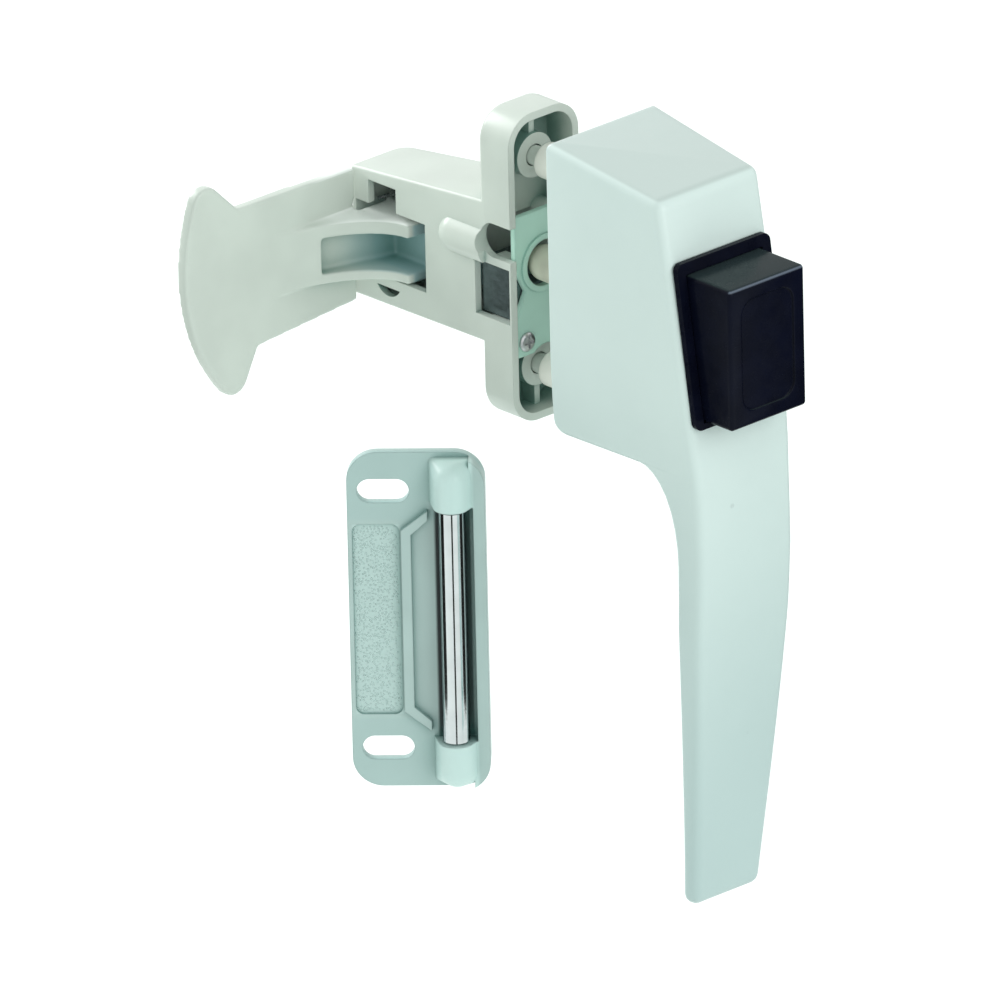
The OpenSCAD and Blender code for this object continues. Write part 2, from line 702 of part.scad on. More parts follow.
module inside_case() {
    pw = plate_w - 2 * plate_wall;
    ph = plate_h - 2 * plate_wall;
    hole = screw_d + 0.5;
    color([0.84, 0.89, 0.86])
        difference() {
            union() {
                difference() {
                    union() {
                        plate_form();
                        case_form();
                        side_bulge();
                    }
                    upright(door_gap - cut, floor_y) round_rect(pw, ph, plate_r - plate_wall);
                }
                for (s = [-1, 1]) {
                    rod_y(0, s * post_spacing / 2, door_gap + 2.6, floor_y + 0.2, boss_d);
                    box([-0.7, 0.7], [door_gap + 3.4, floor_y + 0.2],
                        s > 0 ? [post_spacing / 2 + boss_d / 2 - 0.4, ph / 2 + 0.4]
                              : [-ph / 2 - 0.4, -post_spacing / 2 - boss_d / 2 + 0.4]);
                }
                // Ribs that guide the bolt, with the way of the plunger left open
                box([case_in_left - 0.2, case_right - 0.4], [cover_back_y, floor_y + 0.2],
                    [bolt_low_z - slide_gap - 1.4, bolt_low_z - slide_gap]);
                for (x = [[case_in_left - 0.2, -cover_hole_d / 2], [cover_hole_d / 2, case_right - 0.4]])
                    box(x, [cover_back_y, floor_y + 0.2],
                        [bolt_top_z + slide_gap, bolt_top_z + slide_gap + 1.4]);
                for (s = [-1, 1])
                    rod_y(s * cover_screw_x, cover_mid_z + s * (cover_h / 2 - 3), cover_back_y,
                        floor_y + 0.2, cover_boss_d);
            }
            // Hollow of the case, and the way from it to the bolt
            translate([0, 0, -case_in_bottom])
                linear_extrude(case_in_bottom + case_in_top)
                polygon([[case_in_left, floor_y - 0.01], [case_right - plate_wall, floor_y - 0.01],
                    [case_end_x - plate_wall, case_in_y - 2.4],
                    [case_end_x - plate_wall - 2.4, case_in_y], [case_in_left, case_in_y]]);
            box([case_in_left, case_right - plate_wall], [floor_y - cut, plate_back_y + 4],
                [bolt_low_z - slide_gap, plunger_d / 2 + 0.6]);
            // Holes for the bolt's nose, for its tail and for the arch beside it
            box([0, plate_w], [bolt_y - slide_gap, bolt_y + bolt_t + slide_gap],
                [bolt_low_z - slide_gap, bolt_top_z + slide_gap]);
            box([-plate_w, 0], [cover_y, cam_end_y + slide_gap],
                [bolt_low_z - slide_gap, bolt_top_z + slide_gap]);
            box([-plate_w, case_in_left + 0.2], [door_gap - cut, arch_y],
                [arch_z - arch_r, arch_z + arch_r]);
            rod_x(arch_y, arch_z, -plate_w, case_in_left + 0.2, 2 * arch_r);
            // Window for the lever, and the two small windows above and below it
            box([-plate_w, case_in_left + cut], [window_y, case_in_y], [window_low_z, window_top_z]);
            box([-plate_w, case_in_left + cut], [pivot_y - 7, pivot_y + 1],
                [window_top_z - 0.1, case_in_top - 0.2]);
            intersection() {
                rod_x(pivot_y - 4.3, slot_top_z + 1.9, -plate_w, case_in_left + cut, 7.6);
                box([-plate_w, 0], [0, case_end_y], [-case_in_bottom, slot_top_z]);
            }
            // Screw holes, cover screw holes and the pin's seat
            for (s = [-1, 1]) rod_y(0, s * post_spacing / 2, door_gap, plate_back_y + cut, hole);
            for (s = [-1, 1])
                rod_y(s * cover_screw_x, cover_mid_z + s * (cover_h / 2 - 3), cover_back_y - cut,
                    floor_y - 0.4, cover_screw_d + 2 * run_gap);
            rod_z(pivot_x, pivot_y, -case_end_bottom - cut, case_end_top - 0.8, pivot_d + 2 * run_gap);
        }
}

module bolt_cover() {
    top = cover_mid_z + cover_h / 2;
    low = cover_mid_z - cover_h / 2;
    mid = (bolt_top_z + bolt_low_z) / 2;
    color([0.78, 0.86, 0.82])
        difference() {
            union() {
                box([-cover_w / 2, cover_w / 2], [cover_y, cover_back_y], [low, top]);
                rod_y(0, 0, door_gap + 0.1, cover_y + 0.1, cover_hole_d + 2.4);
            }
            rod_y(0, 0, door_gap - cut, cover_back_y + cut, cover_hole_d);
            upright(cover_y - cut, cover_back_y + cut)
                polygon([[-cover_w, mid + 5.6], [-cover_w / 2, mid + 5.6], [-cover_w / 2 + 2.8, mid],
                    [-cover_w / 2, mid - 5.6], [-cover_w, mid - 5.6]]);
            for (s = [-1, 1]) {
                rod_y(s * cover_screw_x, cover_mid_z + s * (cover_h / 2 - 3), 0, plate_back_y,
                    cover_screw_d + 2 * slide_gap);
                rod_y(0, s * post_spacing / 2, 0, plate_back_y, boss_d + 2 * slide_gap);
            }
        }
}

module cover_screws() {
    color([0.72, 0.73, 0.74])
        for (s = [-1, 1])
            mirror([0, 1, 0])
                pan_screw(s * cover_screw_x, cover_mid_z + s * (cover_h / 2 - 3), -cover_y,
                    cover_screw_d, cover_screw_d * 1.8, 0.9, cover_t + 4);
}

// The bolt: a flat bar with a bevelled nose, a cam block with the plunger's ramp,
// and a notch for the lever's finger
module latch_bolt() {
    back = bolt_y + bolt_t;
    ramp0 = bolt_y - nose_y - ramp_off;
    ramp1 = cam_end_y - nose_y - ramp_off;
    color([0.74, 0.76, 0.77])
        difference() {
            union() {
                translate([0, 0, bolt_low_z])
                    linear_extrude(bolt_bar_top_z - bolt_low_z)
                    polygon([[bolt_left_x, bolt_y], [bolt_nose_x - 5.5, bolt_y], [bolt_nose_x, back - 1],
                        [bolt_nose_x, back], [finger_x + 4.4, back], [finger_x + 4.4, cam_end_y],
                        [bolt_left_x, cam_end_y]]);
                translate([0, 0, bolt_bar_top_z - 0.01])
                    linear_extrude(bolt_top_z - bolt_bar_top_z + 0.01) {
                        polygon([[bolt_left_x, bolt_y], [ramp0, bolt_y], [ramp1, cam_end_y],
                            [bolt_left_x, cam_end_y]]);
                        polygon([[plunger_d / 2 + button_travel + 0.6, bolt_y],
                            [bolt_nose_x - 5.5, bolt_y], [bolt_nose_x, back - 1], [bolt_nose_x, back],
                            [plunger_d / 2 + button_travel + 0.6, back]]);
                    }
            }
            box([finger_x - finger_d / 2 - slide_gap, finger_x + finger_d / 2 + slide_gap],
                [finger_y - finger_d / 2 - 0.6, cam_end_y + cut], [bolt_low_z - cut, bolt_bar_top_z + cut]);
        }
}

// Outline of the lever's plate and fishtail, in X and Z, with tips that run into the long edge
module lever_outline() {
    mid_x = tail_left_x + tail_r;
    up_z = tail_up - tip_r;
    low_z = -tail_down + tip_r;
    up_x = mid_x - sqrt(pow(tail_r - tip_r, 2) - pow(up_z, 2));
    low_x = mid_x - sqrt(pow(tail_r - tip_r, 2) - pow(low_z, 2));
    up_a = atan2(up_z, up_x - mid_x);
    low_a = 360 + atan2(low_z, low_x - mid_x);
    polygon(concat([[lever_right_x, lever_top_z], [lever_neck_x - neck_skew, neck_top_z]],
        arc(up_x, up_z, tip_r, 40, up_a, 12), arc(mid_x, 0, tail_r, up_a + 2, low_a - 2, 24),
        arc(low_x, low_z, tip_r, low_a, 335, 12),
        [[lever_neck_x + neck_skew, neck_top_z - neck_w], [lever_right_x, lever_top_z - lever_h]]));
}

// A horn in plan: from the plate round the curved edge, through the window to the hub
module horn_plan() {
    far_x = horn_left_x - horn_len;
    difference() {
        polygon([[far_x, lever_back_y], [lever_right_x, lever_back_y],
            [lever_right_x, horn_back_y], [pivot_x, horn_back_y], [pivot_x, pivot_y],
            [pivot_x + 1, horn_end_y + 2], [pivot_x - 2.6, horn_end_y - 0.6],
            [horn_left_x + 0.4, horn_end_y], [horn_left_x - horn_d, horn_end_y - 0.6],
            [far_x, horn_end_y]]);
        translate([far_x, horn_end_y])
            scale([horn_len / horn_d, 1])
            circle(r = horn_d, $fn = 128);
    }
}

// The pocket between the horns, whose floor slants from the plate to the hub
module pocket_plan() {
    hub_x = pivot_x - hub_d / 2 + 0.5;
    polygon([[pocket_left_x, horn_end_y - cut], [pocket_left_x, lever_front_y + 0.5],
        [hub_x, lever_front_y + 0.5 - 0.28 * (hub_x - pocket_left_x)], [hub_x, horn_end_y - cut]]);
}

module lever() {
    color([0.85, 0.9, 0.87])
        difference() {
            union() {
                translate([0, lever_back_y, 0])
                    rotate([90, 0, 0])
                    linear_extrude(lever_t) lever_outline();
                translate([0, 0, -hub_bottom])
                    linear_extrude(hub_top + hub_bottom) horn_plan();
                rod_z(pivot_x, pivot_y, -hub_bottom, hub_top, hub_d);
                // Arm from the hub to the finger, low enough to pass under the plunger
                translate([0, 0, -hub_bottom])
                    linear_extrude(arm_top_z + hub_bottom)
                    polygon([[pivot_x - 2.2, pivot_y - 2], [pivot_x - 1.4, horn_end_y],
                        [finger_x - 1.5, finger_y], [finger_x + 1.5, finger_y],
                        [pivot_x + 3.8, horn_end_y], [pivot_x + 3.8, pivot_y - 2]]);
                rod_z(finger_x, finger_y, -hub_bottom, arm_top_z, finger_d);
            }
            rod_z(pivot_x, pivot_y, -hub_bottom - cut, hub_top + cut, pivot_d + 2 * run_gap);
            translate([0, 0, -hub_bottom + horn_low_t])
                linear_extrude(hub_top + hub_bottom - horn_t - horn_low_t) pocket_plan();
        }
}

module lever_pin() {
    color([0.7, 0.71, 0.73]) {
        rod_z(pivot_x, pivot_y, -case_end_bottom + 0.1, case_end_top - 0.9, pivot_d);
    }
}

module lever_spring() {
    r = pivot_d / 2 + 1.3;
    z0 = hub_top + 0.1 + lever_wire / 2;
    turns = 3;
    n = turns * 16;
    coil = [for (i = [0:n])
        let (a = 100 + 360 * i * turns / n)
        [pivot_x + r * cos(a), pivot_y + r * sin(a), z0 + i / n * turns * (lever_wire + 0.08)]];
    leg = [pivot_x + r * cos(100) - 4, pivot_y + r * sin(100) + 0.3, z0];
    color([0.62, 0.65, 0.66])
        wire(concat([leg], coil), [0, 0, 1], lever_wire / 2);
}

module mounting_screw(z) {
    color([0.88, 0.9, 0.88])
        pan_screw(0, z, plate_back_y, screw_d, screw_head_d, screw_head_h,
            plate_d + post_short + screw_grip);
}

module mounting_screw_upper() mounting_screw(post_spacing / 2);
module mounting_screw_lower() mounting_screw(-post_spacing / 2);

// The strike stands apart and faces the front left: X runs to the right of its face,
// Z up, and its face looks along -Y
module strike_frame() {
    translate(strike_at)
        rotate([0, 0, -strike_yaw])
        translate([-strike_w / 2, 0, 0])
        children();
}

module strike_plate() {
    pin_z = roller_len / 2 + roller_gap;
    boss_r = roller_d / 2 + 0.9;
    recess_h = 41;
    color([0.84, 0.89, 0.87])
        strike_frame()
        difference() {
            union() {
                upright(-strike_t, 0)
                    translate([strike_w / 2, 0]) round_rect(strike_w, strike_h, strike_r);
                intersection() {
                    union() {
                        // Housing that carries the roller, with rounded bosses at both ends
                        for (s = [-1, 1])
                            hull() {
                                for (z = [pin_z + 0.2, strike_h / 2 - boss_r - 1.2])
                                    translate([roller_x, -roller_rise, s * z])
                                        sphere(r = boss_r, $fn = 32);
                                for (z = [pin_z - boss_r + 0.2, strike_h / 2 - 2])
                                    translate([shelf_x - 1, -0.5, min(s * z, s * z + s)])
                                        cube([strike_w - shelf_x + 1, 0.5, 1]);
                            }
                        box([strike_w - 3.2, strike_w], [-house_h + 3, 0], [-strike_h / 2, strike_h / 2]);
                    }
                    upright(-20, 0)
                        translate([strike_w / 2, 0]) round_rect(strike_w, strike_h, strike_r);
                }
                // Raised border round the recess
                upright(-strike_t - 1.2, -strike_t + 0.2)
                    polygon([[10.6, 19.5], [16.6, 24.2], [16.6, 22.2], [12.6, 18.6], [12.6, -18.6],
                        [16.6, -22.2], [16.6, -24.2], [10.6, -19.5]]);
            }
            // Room for the roller
            box([roller_x - roller_d / 2 - 2.2, strike_w - 2.4], [-20, -strike_t],
                [-pin_z, pin_z]);
            // Recess with the grained face
            upright(-strike_t - cut, -strike_t + 0.5)
                translate([5.6, 0]) round_rect(9.4, recess_h, 1.6);
            for (s = [-1, 1])
                upright(-strike_t - cut, cut)
                    translate([slot_edge + slot_len / 2, s * slot_spacing / 2])
                    round_rect(slot_len, slot_w, slot_w / 2 - 0.001);
            translate([roller_x, -roller_rise, -pin_z - 4])
                cylinder(d = roller_pin_d + 2 * run_gap, h = 2 * (pin_z + 4), $fn = 64);
        }
}

module strike_roller() {
    color([0.8, 0.82, 0.84])
        strike_frame()
        difference() {
            rod_z(roller_x, -roller_rise, -roller_len / 2, roller_len / 2, roller_d);
            rod_z(roller_x, -roller_rise, -roller_len, roller_len, roller_pin_d + 2 * run_gap);
        }
}

module roller_pin() {
    reach = roller_len / 2 + roller_gap + 3.8;
    color([0.62, 0.64, 0.66])
        strike_frame()
        rod_z(roller_x, -roller_rise, -reach, reach, roller_pin_d);
}

handle();
push_button();
button_bezel();
button_plunger();
button_spring();
guide_plate();
guide_screws();
inside_case();
bolt_cover();
cover_screws();
latch_bolt();
lever();
lever_pin();
lever_spring();
mounting_screw_upper();
mounting_screw_lower();
strike_plate();
strike_roller();
roller_pin();
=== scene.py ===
import math

import bmesh
import bpy
from mathutils import Matrix, Vector


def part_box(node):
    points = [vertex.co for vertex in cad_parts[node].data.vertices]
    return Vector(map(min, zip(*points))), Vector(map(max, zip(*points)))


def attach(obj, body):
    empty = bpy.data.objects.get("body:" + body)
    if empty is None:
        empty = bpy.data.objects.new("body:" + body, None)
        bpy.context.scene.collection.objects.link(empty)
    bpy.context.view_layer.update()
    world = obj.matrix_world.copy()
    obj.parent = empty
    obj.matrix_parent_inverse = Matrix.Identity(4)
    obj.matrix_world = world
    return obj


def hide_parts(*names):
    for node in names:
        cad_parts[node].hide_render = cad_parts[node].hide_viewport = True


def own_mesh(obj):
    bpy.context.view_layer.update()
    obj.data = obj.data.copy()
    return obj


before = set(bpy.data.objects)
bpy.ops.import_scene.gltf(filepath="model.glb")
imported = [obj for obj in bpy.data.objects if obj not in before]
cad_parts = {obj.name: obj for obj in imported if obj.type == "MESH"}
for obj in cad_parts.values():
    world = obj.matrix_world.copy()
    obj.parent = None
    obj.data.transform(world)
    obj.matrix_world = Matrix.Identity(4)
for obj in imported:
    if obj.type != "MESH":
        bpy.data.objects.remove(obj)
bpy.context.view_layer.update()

bl_info = {
    "name": "Storm door pushbutton latch",
    "version": (1, 0, 0),
    "blender": (4, 5, 0),
    "location": "View3D > Sidebar > Latch",
    "description": "Castings, button, springs and strike of a storm door latch, with their finishes",
    "category": "Object",
}

MM = 0.001
ROOT = "latch"
ORIGIN = Vector((0.0, 0.0, 0.0))
ALONG_X = Vector((1.0, 0.0, 0.0))
ALONG_Y = Vector((0.0, 1.0, 0.0))
ALONG_Z = Vector((0.0, 0.0, 1.0))

# Faces that meet at more than this many degrees keep a crisp edge between them
SHARP_ABOVE = 32.0

# Vertices of a CAD node that lie closer than this many metres are one
JOIN_WITHIN = 2e-6

# The camera: right, up and back directions, the point at the picture's centre and the distance
RIGHT = Vector((0.7314, -0.6821, -0.0209)).normalized()
UP = Vector((0.2785, 0.2702, 0.9217)).normalized()
BACK = RIGHT.cross(UP).normalized()
AIM = Vector((-22.0, 7.95, -42.07)) * MM
CAMERA_DISTANCE = 6.0
PIXELS_PER_M = 5055.0
PICTURE_W = 1000.0

# The strike's own frame: its middle, the direction across it and the one out of its face, and
# the middle of the roller and of the grained recess across it, in millimetres
STRIKE_MID = Vector((-19.3, 35.0, -75.5)) * MM
STRIKE_RIGHT = Vector((math.sqrt(0.5), -math.sqrt(0.5), 0.0))
STRIKE_FACE = Vector((-math.sqrt(0.5), -math.sqrt(0.5), 0.0))
ROLLER_ASIDE = 7.1
RECESS_ASIDE = -8.2

# Where the strike's tones begin and are full, in millimetres: out of its face, across from the
# middle of the roller or recess, and up or down from its middle
PLATE_OUT = (0.8, 1.2)
# Painted light on the bosses
BOSS_OUT = (2.2, 3.6)
BOSS_ACROSS = (3.9, 4.7)
BOSS_UP = (24.8, 25.6)
# Painted shade on the plate's upper and lower ends
PLATE_END_OUT = (1.6, 2.3)
PLATE_END_UP = (20.8, 22.0)
RECESS_ACROSS = (4.4, 4.9)
RECESS_UP = (20.2, 20.7)
# Painted shade, near black, on the channel floor behind the roller, which the chrome also reflects
FLOOR_OUT = (2.2, 2.6)
FLOOR_LEFT = (-3.9, -3.2)
FLOOR_RIGHT = (3.3, 3.8)
FLOOR_UP = (25.2, 25.6)

# The patch that carries the grain, in millimetres: its left and right edge, half its height and
# its distance out of the strike's middle plane
PATCH_LEFT = -12.6
PATCH_RIGHT = -4.0
PATCH_HALF_H = 19.9
PATCH_OUT = 1.5

# Small rubbed marks on the grip: place and radius in millimetres, and depth of tone
HANDLE_MARKS = (((-3.8, -40.3, -34.5), 0.7, 1.2), ((2.3, -37.0, -86.0), 0.5, 0.8),
                ((2.1, -33.4, -117.1), 0.9, 1.6))

# The lever beside the case, in millimetres: the case's side, the plate's edge, and the
# heights between which the horns and the pocket in them lie
CASE_SIDE_X = -9.5
LEVER_EDGE_X = -11.0
HORN_LOW_Z = -10.4
HORN_HIGH_Z = 2.4
POCKET_LOW_Z = -8.2
POCKET_HIGH_Z = -0.6

# Where the lever's edge is squared, in millimetres: from how far above and below the horns and
# over what length, and from how far inside the edge and over what width
HORN_CLEAR = 0.6
HORN_RAMP = 1.6
EDGE_BAND = 1.2
EDGE_RAMP = 0.8

# The heights in millimetres over which painted shade at the grip's end gives way to painted light
# on the head, and over which painted shade begins on the head's top
GRIP_SHADE_Z = (-125.0, 10.0)
HEAD_TOP_SHADE_Z = (18.0, 22.0)

# The coil's points in a turn and the share of its rise that is eased at the ends, and the
# pebbles' greatest number on a square metre and their height as a share of their width
POINTS_PER_TURN = 40
END_EASE = 0.25
PEBBLES_PER_M2 = 6.0e6
PEBBLE_FLATNESS = 0.16

# Shares of red, green and blue that darken or lighten a piece's own enamel, each of them painted
# shade or painted light
# Painted shade, tinted teal, in the hollows and inner corners of the enamel
HOLLOW_SHADE_TINT = (0.12, 0.34, 0.31)
# Painted shade at the grip's end and painted light on the head
GRIP_END_SHADE_TINT = (0.76, 0.83, 0.86)
HEAD_LIGHT_TINT = (1.17, 1.16, 1.20)
# Painted shade on the head's upward faces
HEAD_TOP_SHADE_TINT = (0.87, 0.86, 0.87)
# Painted shade on the strike plate's ends
PLATE_END_SHADE_TINT = (0.85, 0.93, 0.94)

# Colours of the small pieces and the stage, and of the painted shade and painted light on the
# enamel and the plastic
ZINC = (0.62, 0.63, 0.64)
PIN_STEEL = (0.6, 0.61, 0.62)
BOLT_STEEL = (0.20, 0.25, 0.26)
SPRING_STEEL = (0.55, 0.57, 0.58)
NYLON = (0.68, 0.68, 0.56)
COVER_GREEN = (0.56, 0.85, 0.73)
# Painted shade, teal, on the lever inside the case and in the pocket between its horns
LEVER_SHADE = (0.42, 0.60, 0.62, 1.0)
# The posts' own pale cream, made whiter as painted light where they lie in the head's shade
POST_CREAM_AND_LIGHT = (1.0, 1.0, 0.92, 1.0)
# Painted highlight on the upper horn's top
HORN_TOP_LIGHT = (0.97, 1.0, 0.97, 1.0)
# Painted shade, near black, on the strike's floor behind the roller
ROLLER_FLOOR_SHADE = (0.010, 0.016, 0.018, 1.0)
# Painted light on the button's upward faces
BUTTON_TOP_LIGHT = (0.024, 0.037, 0.041, 1.0)
# Painted highlight on the button's front top edge
BUTTON_EDGE_HIGHLIGHT = (0.17, 0.20, 0.26, 1.0)
CHROME_EDGE = (0.02, 0.02, 0.03, 1.0)
BLACK = (0.0, 0.0, 0.0, 1.0)
WHITE = (1.0, 1.0, 1.0, 1.0)
FLOOR_PAPER = (0.86, 0.88, 0.87, 1.0)
FLOOR_GLOW = 0.22
SKY_TINT = (0.91, 1.0, 0.965, 1.0)

# The lamps' places and width, and the floor's half width, in metres
KEY_PLACE = Vector((-0.15, 0.80, 0.42))
FILL_PLACE = AIM + BACK * 0.50 + RIGHT * 0.45 + UP * 0.10
LAMP_WIDTH = 0.5
FLOOR_HALF_W = 3.0

# The dark cards for the chrome, in metres: two corners as distances sideways and forwards from
# the roller, and the height of the top edge, and how far they reach below the grip's end
FLAGS = (("flag_left", (-0.16, 0.055), (-0.16, -0.32), 0.06),
         ("flag_right", (0.16, 0.055), (0.16, -0.32), 0.06),
         ("flag_front", (-0.012, 0.14), (0.02, 0.14), -0.09))
FLAG_DROP = 0.04


# Sizes and colours

class CastingFinish(bpy.types.PropertyGroup):
    enamel: bpy.props.FloatVectorProperty(
        name="Enamel", description="Colour of the handle's baked enamel",
        default=(0.695, 0.800, 0.765), subtype="COLOR", min=0.0, max=1.0)
    inside_enamel: bpy.props.FloatVectorProperty(
        name="Inside enamel", description="Colour of the inside latch and its lever",
        default=(0.695, 0.748, 0.690), subtype="COLOR", min=0.0, max=1.0)
    strike_enamel: bpy.props.FloatVectorProperty(
        name="Strike enamel", description="Colour of the strike",
        default=(0.525, 0.665, 0.645), subtype="COLOR", min=0.0, max=1.0)
    edge_round: bpy.props.FloatProperty(
        name="Edge round", description="Radius at which sharp cast edges catch the light",
        default=0.45 * MM, subtype="DISTANCE", unit="LENGTH")
    skin_grain: bpy.props.FloatProperty(
        name="Skin grain", description="Height of the enamel's orange peel",
        default=0.012 * MM, subtype="DISTANCE", unit="LENGTH")
    # Reach and strength of the painted shade in hollows and inner corners
    hollow_reach: bpy.props.FloatProperty(
        name="Hollow reach", description="Depth over which hollows and inner corners darken",
        default=7.0 * MM, subtype="DISTANCE", unit="LENGTH")
    hollow_shade: bpy.props.FloatProperty(
        name="Hollow shade", description="How far hollows and inner corners darken",
        default=0.8, min=0.0, max=1.0)


class LeverShape(bpy.types.PropertyGroup):
    voxel: bpy.props.FloatProperty(
        name="Voxel", description="Grid on which the cast lever's edges and hollows are rounded",
        default=0.36 * MM, subtype="DISTANCE", unit="LENGTH")
    soften: bpy.props.IntProperty(
        name="Soften", description="Passes that round the lever's edges and hollows",
        default=7, min=1, max=30)
    edge_reach: bpy.props.FloatProperty(
        name="Edge reach", description="What the softening takes from the edge beside the case",
        default=0.5 * MM, subtype="DISTANCE", unit="LENGTH")


class ButtonFinish(bpy.types.PropertyGroup):
    plastic: bpy.props.FloatVectorProperty(
        name="Plastic", description="Colour of the button's moulded plastic",
        default=(0.0035, 0.0045, 0.0125), subtype="COLOR", min=0.0, max=1.0)
    edge: bpy.props.FloatProperty(
        name="Edge", description="Radius at which the button's edges catch the light",
        default=0.5 * MM, subtype="DISTANCE", unit="LENGTH")


class SpringShape(bpy.types.PropertyGroup):
    button_wire: bpy.props.FloatProperty(
        name="Button spring wire", description="Wire diameter of the button's spring",
        default=0.9 * MM, subtype="DISTANCE", unit="LENGTH")
    button_turns: bpy.props.FloatProperty(
        name="Button spring turns", description="Turns of the button's spring", default=7.0)
    travel: bpy.props.FloatProperty(
        name="Travel", description="Length by which the button presses its spring together",
        default=6.9 * MM, subtype="DISTANCE", unit="LENGTH")


class StrikeShape(bpy.types.PropertyGroup):
    grain_size: bpy.props.FloatProperty(
        name="Grain size", description="Width of a pebble in the strike's recess",
        default=0.56 * MM, subtype="DISTANCE", unit="LENGTH")
    grain_gap: bpy.props.FloatProperty(
        name="Grain gap", description="Smallest distance between two pebbles",
        default=0.46 * MM, subtype="DISTANCE", unit="LENGTH")
    grain_seed: bpy.props.IntProperty(
        name="Grain seed", description="Seed that places the pebbles", default=7)
    chrome: bpy.props.FloatVectorProperty(
        name="Chrome", description="Colour of the roller's chrome",
        default=(0.78, 0.80, 0.82), subtype="COLOR", min=0.0, max=1.0)


class StudioLight(bpy.types.PropertyGroup):
    sky: bpy.props.FloatProperty(
        name="Sky", description="Strength of the even white light", default=0.70)
    key: bpy.props.FloatProperty(
        name="Key", description="Power of the lamp above and behind", default=5.6, unit="POWER")
    fill: bpy.props.FloatProperty(
        name="Fill", description="Power of the lamp in front, on the right", default=1.25,
        unit="POWER")
    floor_drop: bpy.props.FloatProperty(
        name="Floor drop", description="Distance of the floor below the grip's end",
        default=0.05, subtype="DISTANCE", unit="LENGTH")


# Shader sums

class Wire:
    """A socket's value, with the sums that materials need"""

    def __init__(self, tree, socket):
        self.tree = tree
        self.socket = socket

    def sum(self, kind, a, b):
        return self.tree.node("ShaderNodeMath", {"operation": kind}, {0: a, 1: b})

    def __add__(self, other):
        return self.sum("ADD", self, other)

    def __radd__(self, other):
        return self.sum("ADD", other, self)

    def __sub__(self, other):
        return self.sum("SUBTRACT", self, other)

    def __rsub__(self, other):
        return self.sum("SUBTRACT", other, self)

    def __mul__(self, other):
        return self.sum("MULTIPLY", self, other)

    def __rmul__(self, other):
        return self.sum("MULTIPLY", other, self)

    def __abs__(self):
        return self.tree.node("ShaderNodeMath", {"operation": "ABSOLUTE"}, {0: self})


class Tree:
    """The nodes of a material or world, added by type, settings and socket values"""

    def __init__(self, name, world=None):
        self.owner = world or bpy.data.materials.new(name)
        self.owner.use_nodes = True
        self.nodes = self.owner.node_tree.nodes
        self.links = self.owner.node_tree.links
        self.nodes.clear()

    def node(self, kind, settings=None, values=None, out=0):
        made = self.nodes.new(kind)
        for key, value in (settings or {}).items():
            setattr(made, key, value)
        for key, value in (values or {}).items():
            socket = made.inputs[key]
            if isinstance(value, Wire):
                self.links.new(value.socket, socket)
            else:
                socket.default_value = value
        return Wire(self, made.outputs[out] if len(made.outputs) else None)

    def place(self):
        return self.node("ShaderNodeTexCoord", out="Object")

    def noise(self, size, detail=3.0, rough=0.5, stretch=(1.0, 1.0, 1.0)):
        where = self.node("ShaderNodeMapping", {"vector_type": "POINT"},
                          {"Vector": self.place(), "Scale": stretch})
        return self.node("ShaderNodeTexNoise", {"noise_dimensions": "3D"},
                         {"Vector": where, "Scale": 1.0 / size, "Detail": detail,
                          "Roughness": rough})

    def between(self, value, low, high, new_low=0.0, new_high=1.0):
        """Rises smoothly from the new low to the new high where the value lies between"""
        return self.node("ShaderNodeMapRange", {"interpolation_type": "SMOOTHSTEP"},
                         {0: value, 1: low, 2: high, 3: new_low, 4: new_high})

    def below(self, value, low, high):
        """1 under the low value and 0 over the high one"""
        return self.between(value, low, high, 1.0, 0.0)

    def axis(self, vector, letter):
        return self.node("ShaderNodeSeparateXYZ", None, {0: vector}, out=letter)

    def upward(self):
        """1 on faces that look straight up, 0 on upright ones, -1 on faces that look down"""
        return self.axis(self.node("ShaderNodeNewGeometry", out="Normal"), "Z")

    def mix(self, amount, a, b):
        return self.node("ShaderNodeMix", {"data_type": "RGBA"},
                         {0: amount, 6: a, 7: b}, out=2)

    def rounded(self, radius):
        return self.node("ShaderNodeBevel", {"samples": 6}, {"Radius": radius})

    def spot(self, place, radius):
        """1 inside a small round spot, 0 outside it"""
        away = self.node("ShaderNodeVectorMath", {"operation": "DISTANCE"},
                         {0: self.place(), 1: tuple(c * MM for c in place)}, out="Value")
        return self.below(away, radius * 0.4 * MM, radius * MM)

    def along(self, direction, origin=ORIGIN):
        """Distance in millimetres from the origin along a unit direction"""
        dot = self.node("ShaderNodeVectorMath", {"operation": "DOT_PRODUCT"},
                        {0: self.place(), 1: tuple(direction)}, out="Value")
        return (dot - direction.dot(origin)) * (1.0 / MM)

    def depth(self, reach):
        """0 on open faces and up to 1 in corners and hollows of the piece itself, the mask for
        painted shade
        """
        seen = self.node("ShaderNodeAmbientOcclusion", {"samples": 6, "only_local": True},
                         {"Distance": reach}, out="AO")
        return self.below(seen, 0.25, 0.9)

    def bump(self, height, distance, normal=None):
        values = {"Height": height, "Distance": distance, "Strength": 1.0}
        if normal is not None:
            values["Normal"] = normal
        return self.node("ShaderNodeBump", None, values)

    def surface(self, **values):
        shader = self.node("ShaderNodeBsdfPrincipled", None,
                           {key.replace("_", " "): value for key, value in values.items()})
        self.node("ShaderNodeOutputMaterial", None, {"Surface": shader})
        return self.owner


def tinted(rgb, r, g, b):
    return (rgb[0] * r, rgb[1] * g, rgb[2] * b, 1.0)


def shade(rgb, k):
    return tinted(rgb, k, k, k)


# Meshes

